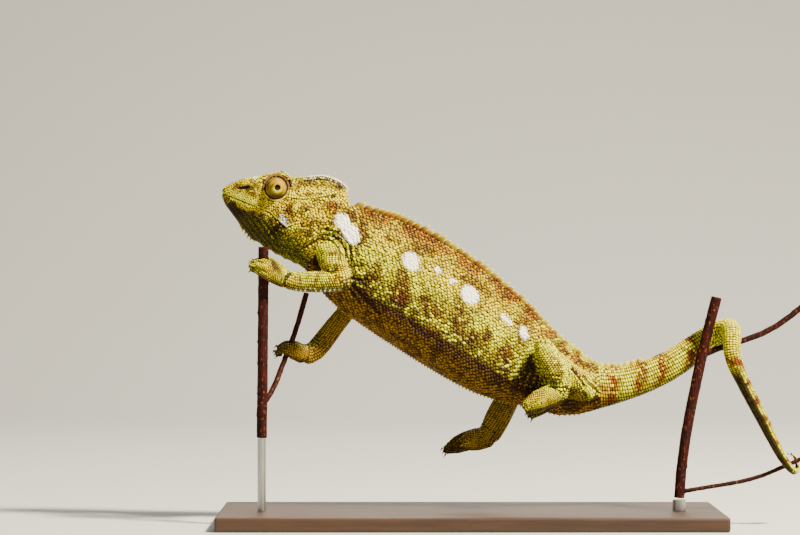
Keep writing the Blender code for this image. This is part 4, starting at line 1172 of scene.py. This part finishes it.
def tube(rings, sides, pointed=True):
    """A circle drawn up into rings, and to a point if asked: each vertex's ring and side, and the faces."""
    form = bmesh.new()
    bmesh.ops.create_circle(form, segments=sides, radius=1.0)
    edges = list(form.edges)
    for ring in range(1, rings + pointed):
        fresh, edges = drawn_out(form, edges)
        bmesh.ops.translate(form, verts=fresh, vec=(0.0, 0.0, 1.0))
    if pointed:
        bmesh.ops.pointmerge(form, verts=fresh, merge_co=(0.0, 0.0, rings))
    bmesh.ops.recalc_face_normals(form, faces=form.faces)
    bmesh.ops.triangulate(form, faces=form.faces)
    form.verts.index_update()
    corners = np.array([v.co for v in form.verts])
    faces = np.array([[v.index for v in f.verts] for f in form.faces])
    form.free()
    turn = np.arctan2(corners[:, 1], corners[:, 0]) / (2 * math.pi)
    return np.round(corners[:, 2]).astype(int), np.round(turn * sides).astype(int) % sides, faces


SIDES = 8
PATCH = 0.0015  # half width of the patch that each scale takes up on the unwrap
TILT = 0.10  # how much lower a scale is at its hind end
# The tints paint shade toward the rim of each dome and a highlight on its top; where the edges are light they
# stay nearly even.
DOME = np.array((  # share of the radius, height, tint, tint where the edges are light
    (1.0, -0.45, 0.05, 0.8575),
    (0.86, 0.42, 0.20, 0.88),
    (0.56, 0.90, 0.92, 0.988),
    (0.0, 1.06, 1.45, 1.05),
))


def scale_piece(name, chosen, flat):
    """One mesh of the chosen scales, each a low dome with its own wobbly outline."""
    place, normal, lie = root_place[chosen], root_normal[chosen], root_lie[chosen]
    size, colour, even = root_size[chosen], root_colour[chosen], root_even[chosen][:, None]
    n = len(place)
    lie = unit(lie - normal * (lie * normal).sum(1)[:, None])
    lie = unit(lie + np.cross(normal, lie) * (0.4 * (chance.random((n, 1)) - 0.5)))
    across = np.cross(normal, lie)
    ring, side, faces = tube(len(DOME) - 1, SIDES)
    share, rise, dark, light = DOME[ring].T
    angle = 2 * math.pi * (side + 0.5) / SIDES
    wobble = 1 + 0.16 * (chance.random((n, SIDES)) - 0.5)[:, side]
    square = 1 / (np.abs(np.cos(angle)) ** 3.0 + np.abs(np.sin(angle)) ** 3.0) ** (1 / 3.0)
    u = share * np.cos(angle) * square * size[:, 0:1] * wobble
    v = share * np.sin(angle) * square * size[:, 1:2] * wobble
    up = rise * size[:, 2:3] * (1 - TILT * np.cos(angle) * (share > 0))
    verts = (place[:, None] + lie[:, None] * u[..., None] + across[:, None] * v[..., None]
             + normal[:, None] * up[..., None])
    tints = colour[:, None] * (dark + (light - dark) * even)[..., None]
    flats = flat[:, None] + PATCH * np.stack((share * np.cos(angle), share * np.sin(angle)), 1)
    mesh_piece(name, verts, tints, flats, faces)


def mesh_piece(name, verts, tints, flats, faces):
    """An object made of many like forms: a row of vertices for each, and the same faces in all."""
    n, each = verts.shape[:2]
    corners = (faces[None] + (np.arange(n) * each)[:, None, None]).reshape(-1)
    mesh = bpy.data.meshes.new(name)
    mesh.vertices.add(n * each)
    mesh.vertices.foreach_set("co", (verts * MM).astype(np.float32).ravel())
    mesh.loops.add(len(corners))
    mesh.loops.foreach_set("vertex_index", corners.astype(np.int32))
    mesh.polygons.add(len(corners) // 3)
    mesh.polygons.foreach_set("loop_start", np.arange(0, len(corners), 3, dtype=np.int32))
    mesh.update(calc_edges=True)
    mesh.validate()
    layer = mesh.uv_layers.new(name="OFBake")
    layer.data.foreach_set("uv", flats.reshape(-1, 2)[corners].astype(np.float32).ravel())
    set_colours(mesh, tints.reshape(-1, 3))
    mesh.shade_smooth()
    mesh.materials.append(scale_finish.material)
    made = bpy.data.objects.new(name, mesh)
    bpy.context.scene.collection.objects.link(made)
    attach(made, "root")


scale_finish = Finish("scales", 0.6, specular=0.1)
tint = scale_finish.node("ShaderNodeVertexColor", {"layer_name": "markings"})
speckle = scale_finish.noise(0.0006, 2.0)
scale_finish.set("Base Color", scale_finish.mix(
    speckle * 0.35, tint, scale_finish.mix(0.6, tint, paint(0.16, 0.09, 0.04))))
scale_finish.set("Roughness", 0.40 + 0.22 * scale_finish.noise(0.002, 2.0))
scale_finish.bump(scale_finish.noise(0.00035, 2.0), 0.00005, 0.6)

name_of = np.array(flesh_names)[root_whose]
on_head = IS_HEAD[root_whose]
on_tail = IS_TAIL[root_whose]
on_limb = IS_LIMB[root_whose]
front = np.char.startswith(name_of, "fore")
trunk_like = ~(on_head | on_tail | on_limb)
left = root_place[:, 1] < 0
ahead_half = root_place[:, 0] < -8.0
flat_body = unwrap(root_place)
groups = {
    "scales_head_left": on_head & left,
    "scales_head_right": on_head & ~left,
    "scales_shoulder_left": trunk_like & left & ahead_half,
    "scales_shoulder_right": trunk_like & ~left & ahead_half,
    "scales_flank_left": trunk_like & left & ~ahead_half,
    "scales_flank_right": trunk_like & ~left & ~ahead_half,
    "scales_tail": on_tail,
    "scales_forelegs": on_limb & front,
    "scales_hindlegs": on_limb & ~front,
}
for name, chosen in groups.items():
    if "head" in name:
        off = root_place[chosen] - np.array((0.0, 0.0, 150.0))
        flat = np.stack((root_place[chosen, 0], np.arctan2(off[:, 1], off[:, 2])), 1)
    elif "legs" in name:
        flat = np.zeros((chosen.sum(), 2))
        owners_here = name_of[chosen]
        limb_names = sorted(set(owners_here))
        for row, limb in enumerate(limb_names):
            mine = owners_here == limb
            course = courses[limb]
            index = course.nearest(root_place[chosen][mine])
            flat[mine, 0] = course.along[index] / course.along[-1]
            flat[mine, 1] = row + (course.turn(root_place[chosen][mine], index) / (2 * math.pi) + 0.5) * 0.94
    else:
        flat = flat_body[chosen]
    scale_piece(name, chosen, spread(flat))


# Spines: the toothed crest along the back, which dies out on the tail, a row of small pale cones
# along the belly, and the short comb under the chin.
SPINE_FORM = np.array((  # share of the radius, share of the height, tint
    (1.0, 0.0, 0.55),
    (0.92, 0.22, 0.85),
    (0.62, 0.52, 1.05),
    (0.30, 0.82, 1.15),
    (0.0, 1.0, 1.0),
))


def spike_piece(name, feet, tips, radii, colours, flats, tip_colour):
    """Joined cones from foot to tip, swollen low down."""
    axis = unit(tips - feet)
    lie = unit(np.cross(axis, (0.0, 1.0, 0.0)))
    across = np.cross(axis, lie)
    ring, side, faces = tube(len(SPINE_FORM) - 1, SIDES)
    share, rise, tone = SPINE_FORM[ring].T[..., None]
    angle = 2 * math.pi * side / SIDES
    round_x, round_y = share * np.cos(angle)[:, None], share * np.sin(angle)[:, None]
    verts = (feet[:, None] + (tips - feet)[:, None] * rise
             + (lie * radii[:, 0:1])[:, None] * round_x + (across * radii[:, 1:2])[:, None] * round_y)
    tints = tinted(colours[:, None], tip_colour, rise[:, 0] ** 3) * tone
    mesh_piece(name, verts, tints, flats[:, None] + PATCH * np.hstack((round_x, round_y)), faces)


def station_mark(station):
    """Distance along the spine of a station number, which may have a fraction."""
    return float(np.interp(station, range(len(SPINE)), run_of(SPINE[:, :3])))


def on_hide(along, turn):
    """Where the hide lies in one direction round the spine."""
    middle, ahead, up, side, depth = spine.at(along)
    way = up * math.cos(turn) + side * math.sin(turn)
    hit = hide_tree.ray_cast((middle + way * depth * 1.4) * MM, -way)
    return hit[0] / MM, way, ahead


crest_feet, crest_tips, crest_radii, crest_along = [], [], [], []


def crest_spike(along, tall, radius, turn=0.0, slim=1.0):
    """Adds one cone that leans back, at a distance along the spine and a turn from its top."""
    foot, way, ahead = on_hide(along, turn)
    crest_feet.append(foot - way * 0.35)
    crest_tips.append(foot + (way + ahead * 0.6).normalized() * tall)
    crest_radii.append((radius, radius * slim))
    crest_along.append((along, turn))


CREST_PITCH = 3.1
CREST_END = 10.0  # station on the tail behind which only low cones are left
low = 0.0
for last in (1.0, 5.6, 8.0, CREST_END):
    high = station_mark(last)
    count = int((high - low - 1.0) / CREST_PITCH)
    for i in range(count):
        along = low + (high - low) * (i + 0.5) / count
        fade = 1.0 - 0.60 * along / station_mark(CREST_END)
        tall = 0.85 + 0.3 * chance.random()
        crest_spike(along, COAT + 4.3 * fade * tall, 1.75, slim=0.62)
        crest_spike(along + 0.5 * (high - low) / count, COAT + 2.0 * fade, 1.1, slim=0.8)
        for hand in (-1.0, 1.0):
            crest_spike(along + 0.2, COAT + 0.5 * fade, 0.75, hand * 1.35 / spine.at(along)[4])
    low = high
for along in np.arange(low, station_mark(15.0), 2.4):
    crest_spike(along, COAT + 0.3, 0.62)
for along in np.arange(1.0, station_mark(7.4), 1.6):
    crest_spike(along, COAT + 0.8, 0.66, math.pi)
crest_feet, crest_tips, crest_radii = np.array(crest_feet), np.array(crest_tips), np.array(crest_radii)
crest_colour = markings(crest_feet, unit(crest_tips - crest_feet), owner(crest_feet), deep=0.6)[0]
to_tail = ease(np.array(crest_along)[:, 0], station_mark(5.0), station_mark(7.5))
crest_colour = tinted(crest_colour, 0.6 * RUST + 0.2 * ORANGE,
                      (0.35 + 0.6 * cloud(crest_feet, 3.0, 51)) * (1 - 0.65 * to_tail)) * 0.8
spike_piece("crest_spines", crest_feet, crest_tips, crest_radii, crest_colour, spread(np.array(crest_along)),
            PALE * 0.7)

CHIN_TEETH = (0.5, 0.9, 1.0, 1.0, 0.8, 0.5)  # how long each tooth is, from the front
chin_feet, chin_tips = [], []
for i, share in enumerate(CHIN_TEETH):
    foot = Vector((-109.6 + 1.3 * i, 0.0, 143.1 - 1.45 * i))
    hit = hide_tree.ray_cast((foot + Vector((-6.0, 0.0, -8.0))) * MM, Vector((0.55, 0.0, 0.83)))
    foot = hit[0] / MM
    chin_feet.append(foot + Vector((0.2, 0.0, 0.3)))
    chin_tips.append(foot + Vector((-0.8, 0.0, -1.9)) * share)
chin_feet, chin_tips = np.array(chin_feet), np.array(chin_tips)
teeth = np.arange(len(CHIN_TEETH))
chin_colour = tinted(np.tile(GOLD, (len(teeth), 1)), BROWN, 0.35 + 0.5 * cloud(chin_feet, 1.5, 52))
chin_flat = np.stack((np.linspace(0.05, 0.95, len(teeth)), 0.1 + 0.8 * (teeth % 2)), 1)
spike_piece("chin_comb", chin_feet, chin_tips, np.tile((0.66, 0.55), (len(teeth), 1)), chin_colour,
            chin_flat, PALE * 0.8)


# Eyes: glossy and nearly black, each in the small round opening of a thick lid on top of the turret.
# The lid is one creased ring, olive-yellow and paler below the opening, with painted shade in brown at its
# lower foot.
eye_finish = Finish("eyeball", 0.12, specular=0.4)
eye_finish.set("Base Color", eye_finish.ramp(
    eye_finish.noise(0.0006, 3.0), (0.3, paint(0.01, 0.006, 0.005)), (0.8, paint(0.04, 0.02, 0.01))))
for side in ("left", "right"):
    node = nodes["eye_" + side]
    node.data.materials.clear()
    node.data.materials.append(eye_finish.material)

LID = np.array((  # radius, height over the top of the eyeball, tint
    (1.24, -1.5, 0.1),
    (1.26, -0.75, 0.2),
    (1.33, -0.20, 0.6),
    (1.50, 0.08, 1.0),
    (1.75, 0.12, 1.05),
    (2.05, 0.0, 1.0),
    (2.35, -0.28, 1.0),
    (2.65, -0.70, 1.0),
    (3.0, -1.25, 1.0),
    (3.3, -1.9, 0.95),
))
LID_SIDES = 72
ring, side, faces = tube(len(LID), LID_SIDES, pointed=False)
radius, rise, tone = LID[ring].T
angle = 2 * math.pi * side / LID_SIDES
crease = 1 + 0.012 * np.cos(18 * angle) * (radius > 1.5)
fold = 0.05 * np.cos(24 * angle + radius) * (radius > 1.7)
lid_foot_shade = ease(-np.sin(angle), 0.2, 0.9) * (radius > 2.8)
pale = np.exp(-((radius - 2.1) / 0.6) ** 2) * ease(-np.sin(angle) - 0.3 * np.cos(angle), -0.1, 0.6)
lid_colour = tinted(np.tile(YELLOW * (0.36, 0.28, 0.0), (len(angle), 1)), PALE * 0.8, pale)
lid_colour = tinted(lid_colour, BROWN * 0.7, lid_foot_shade * 0.6) * tone[:, None]
lid_flat = 0.5 + 0.13 * np.stack((radius * np.cos(angle), radius * np.sin(angle)), 1)
for hand, name in ((-1.0, "eyelid_left"), (1.0, "eyelid_right")):
    middle = (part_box("eye_left")[0][1] if hand < 0 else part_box("eye_right")[1][1]) / MM
    verts = np.stack((EYE[0] + radius * crease * np.cos(angle), middle + hand * (rise + fold),
                      EYE[1] + radius * crease * np.sin(angle)), 1)
    mesh_piece(name, verts[None], lid_colour[None], lid_flat[None], faces if hand > 0 else faces[:, ::-1])


# Claws: short curved cones of brown horn with paler streaks, one at the end of each toe. They are
# a little flattened from side to side and bend down to a fine tip.
claw_finish = Finish("claw_horn", 0.28, specular=0.6)
claw_finish.set("Base Color", claw_finish.ramp(
    claw_finish.noise(0.0012, 3.0), (0.35, paint(0.16, 0.08, 0.05)), (0.75, paint(0.42, 0.30, 0.20))))
claw_finish.bump(claw_finish.noise(0.0004, 2.0, (1.0, 4.0, 1.0)), 0.00004)
CLAW_RINGS = 8


def claw_ring(foot, ahead, share):
    """Middle and radius of a claw at a share of its length."""
    middle = foot + ahead * (1.5 * share) - Vector((0.0, 0.0, share * share))
    return middle, 0.52 * (1 - share) ** 0.75 + 0.02


for name, count in TOES.items():
    course = courses[name]
    ahead, up = Vector(course.ahead[-1]), Vector(course.up[-1])
    side = Vector((0.0, 1.0, 0.0))
    side = (side - ahead * side.dot(ahead)).normalized()
    lay = Matrix((side.cross(ahead), side * 0.8, ahead)).transposed().to_4x4()
    end = Vector(LIMBS[name][-1][:3])
    half = LIMBS[name][-1][3]
    horn = bmesh.new()
    for i in range(count):
        lift = (i - (count - 1) / 2) * 1.44 * half / (count - 1)
        foot = end + up * lift + ahead * half * 0.15
        middle, radius = claw_ring(foot, ahead, 0.0)
        circle = bmesh.ops.create_circle(horn, cap_ends=True, segments=10, radius=radius,
                                         matrix=Matrix.Translation(middle) @ lay)["verts"]
        edges = list(circle[0].link_faces[0].edges)
        for step in range(1, CLAW_RINGS):
            was, wide = middle, radius
            middle, radius = claw_ring(foot, ahead, step / (CLAW_RINGS - 1))
            fresh, edges = drawn_out(horn, edges)
            bmesh.ops.transform(horn, verts=fresh, matrix=(
                Matrix.Translation(middle) @ Matrix.Scale(radius / wide, 4) @ Matrix.Translation(-was)))
        bmesh.ops.edgeloop_fill(horn, edges=edges)
    bmesh.ops.scale(horn, verts=horn.verts, vec=(MM, MM, MM))
    bmesh.ops.recalc_face_normals(horn, faces=horn.faces)
    claw_mesh = bpy.data.meshes.new("claws_" + name)
    horn.to_mesh(claw_mesh)
    horn.free()
    claw_mesh.shade_smooth()
    claw_mesh.materials.append(claw_finish.material)
    claws = bpy.data.objects.new("claws_" + name, claw_mesh)
    bpy.context.scene.collection.objects.link(claws)
    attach(claws, "root")


# Stems: short cut lengths of the plant that the animal climbs. The bark is dark red-brown with pale
# flecks, waved a little along the stem, with low knots here and there.
STEM_GRID = 0.4  # size of the grid on which the stems are closed
bark_finish = Finish("stem_bark", 0.7, specular=0.12)
grain = bark_finish.noise(0.0016, 5.0, (1.0, 1.0, 0.22), 0.65)
flecks = bark_finish.noise(0.0011, 2.0, (1.0, 1.0, 0.7))
flecks = bark_finish.ramp(flecks, (0.60, (0, 0, 0)), (0.67, (1, 1, 1)))
ground = bark_finish.ramp(grain, (0.30, paint(0.03, 0.008, 0.004)), (0.72, paint(0.21, 0.025, 0.005)))
bark_finish.set("Base Color", bark_finish.mix(flecks * 0.8, ground, paint(0.44, 0.22, 0.10)))
bark_finish.set("Roughness", 0.5 + 0.3 * grain)
bark_finish.bump(grain + 0.5 * flecks, 0.0004, 0.9)

lumps = bmesh.new()
for name in nodes:
    if name.startswith("perch_"):
        lumps.from_mesh(nodes[name].data)
bark_mesh = merged(lumps, "bark", STEM_GRID)
grown_at = relaxed(bark_mesh, points_of(bark_mesh), 8)
set_points(bark_mesh, grown_at)
waves = 0.30 * (clouds(grown_at * (1.0, 1.0, 0.35), 1.6, 61) - 0.5)
knots = 0.35 * ease(cloud(grown_at, 3.5, 62), 0.80, 0.95)
set_points(bark_mesh, grown_at + normals_of(bark_mesh) * (waves + knots - 0.02)[:, None])
bark_mesh.shade_smooth()
stems = bpy.data.objects.new("bark", bark_mesh)
bpy.context.scene.collection.objects.link(stems)
bark_mesh.materials.clear()
bark_mesh.materials.append(bark_finish.material)
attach(stems, "root")
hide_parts(*[n for n in nodes if n.startswith("perch_")])


# Stand: an oiled walnut plinth with its grain along its length, and two satin steel rods that carry
# the cut ends of the stems.
walnut = Finish("oiled_walnut", 0.42, specular=0.4)
rings = walnut.noise(0.006, 6.0, (0.07, 1.0, 1.0), 0.6)
pores = walnut.noise(0.0006, 3.0, (0.05, 1.0, 1.0))
walnut.set("Base Color", walnut.mix(
    0.35 * pores, walnut.ramp(rings, (0.30, paint(0.16, 0.10, 0.07)), (0.55, paint(0.27, 0.18, 0.12)),
                              (0.75, paint(0.21, 0.13, 0.09))), paint(0.10, 0.06, 0.04)))
walnut.set("Roughness", 0.34 + 0.2 * pores)
walnut.bump(pores, 0.00006, 0.5)
steel = Finish("satin_steel", 0.32, metallic=1.0)
brushed = steel.noise(0.0004, 3.0, (1.0, 1.0, 0.04))
steel.set("Base Color", steel.ramp(brushed, (0.2, paint(0.62, 0.62, 0.61)), (0.8, paint(0.76, 0.76, 0.75))))
steel.set("Roughness", 0.24 + 0.2 * brushed)
steel.bump(brushed, 0.00002, 0.4)
for name, finish in (("stand_base", walnut), ("stand_rod_front", steel), ("stand_rod_rear", steel)):
    nodes[name].data.materials.clear()
    nodes[name].data.materials.append(finish.material)
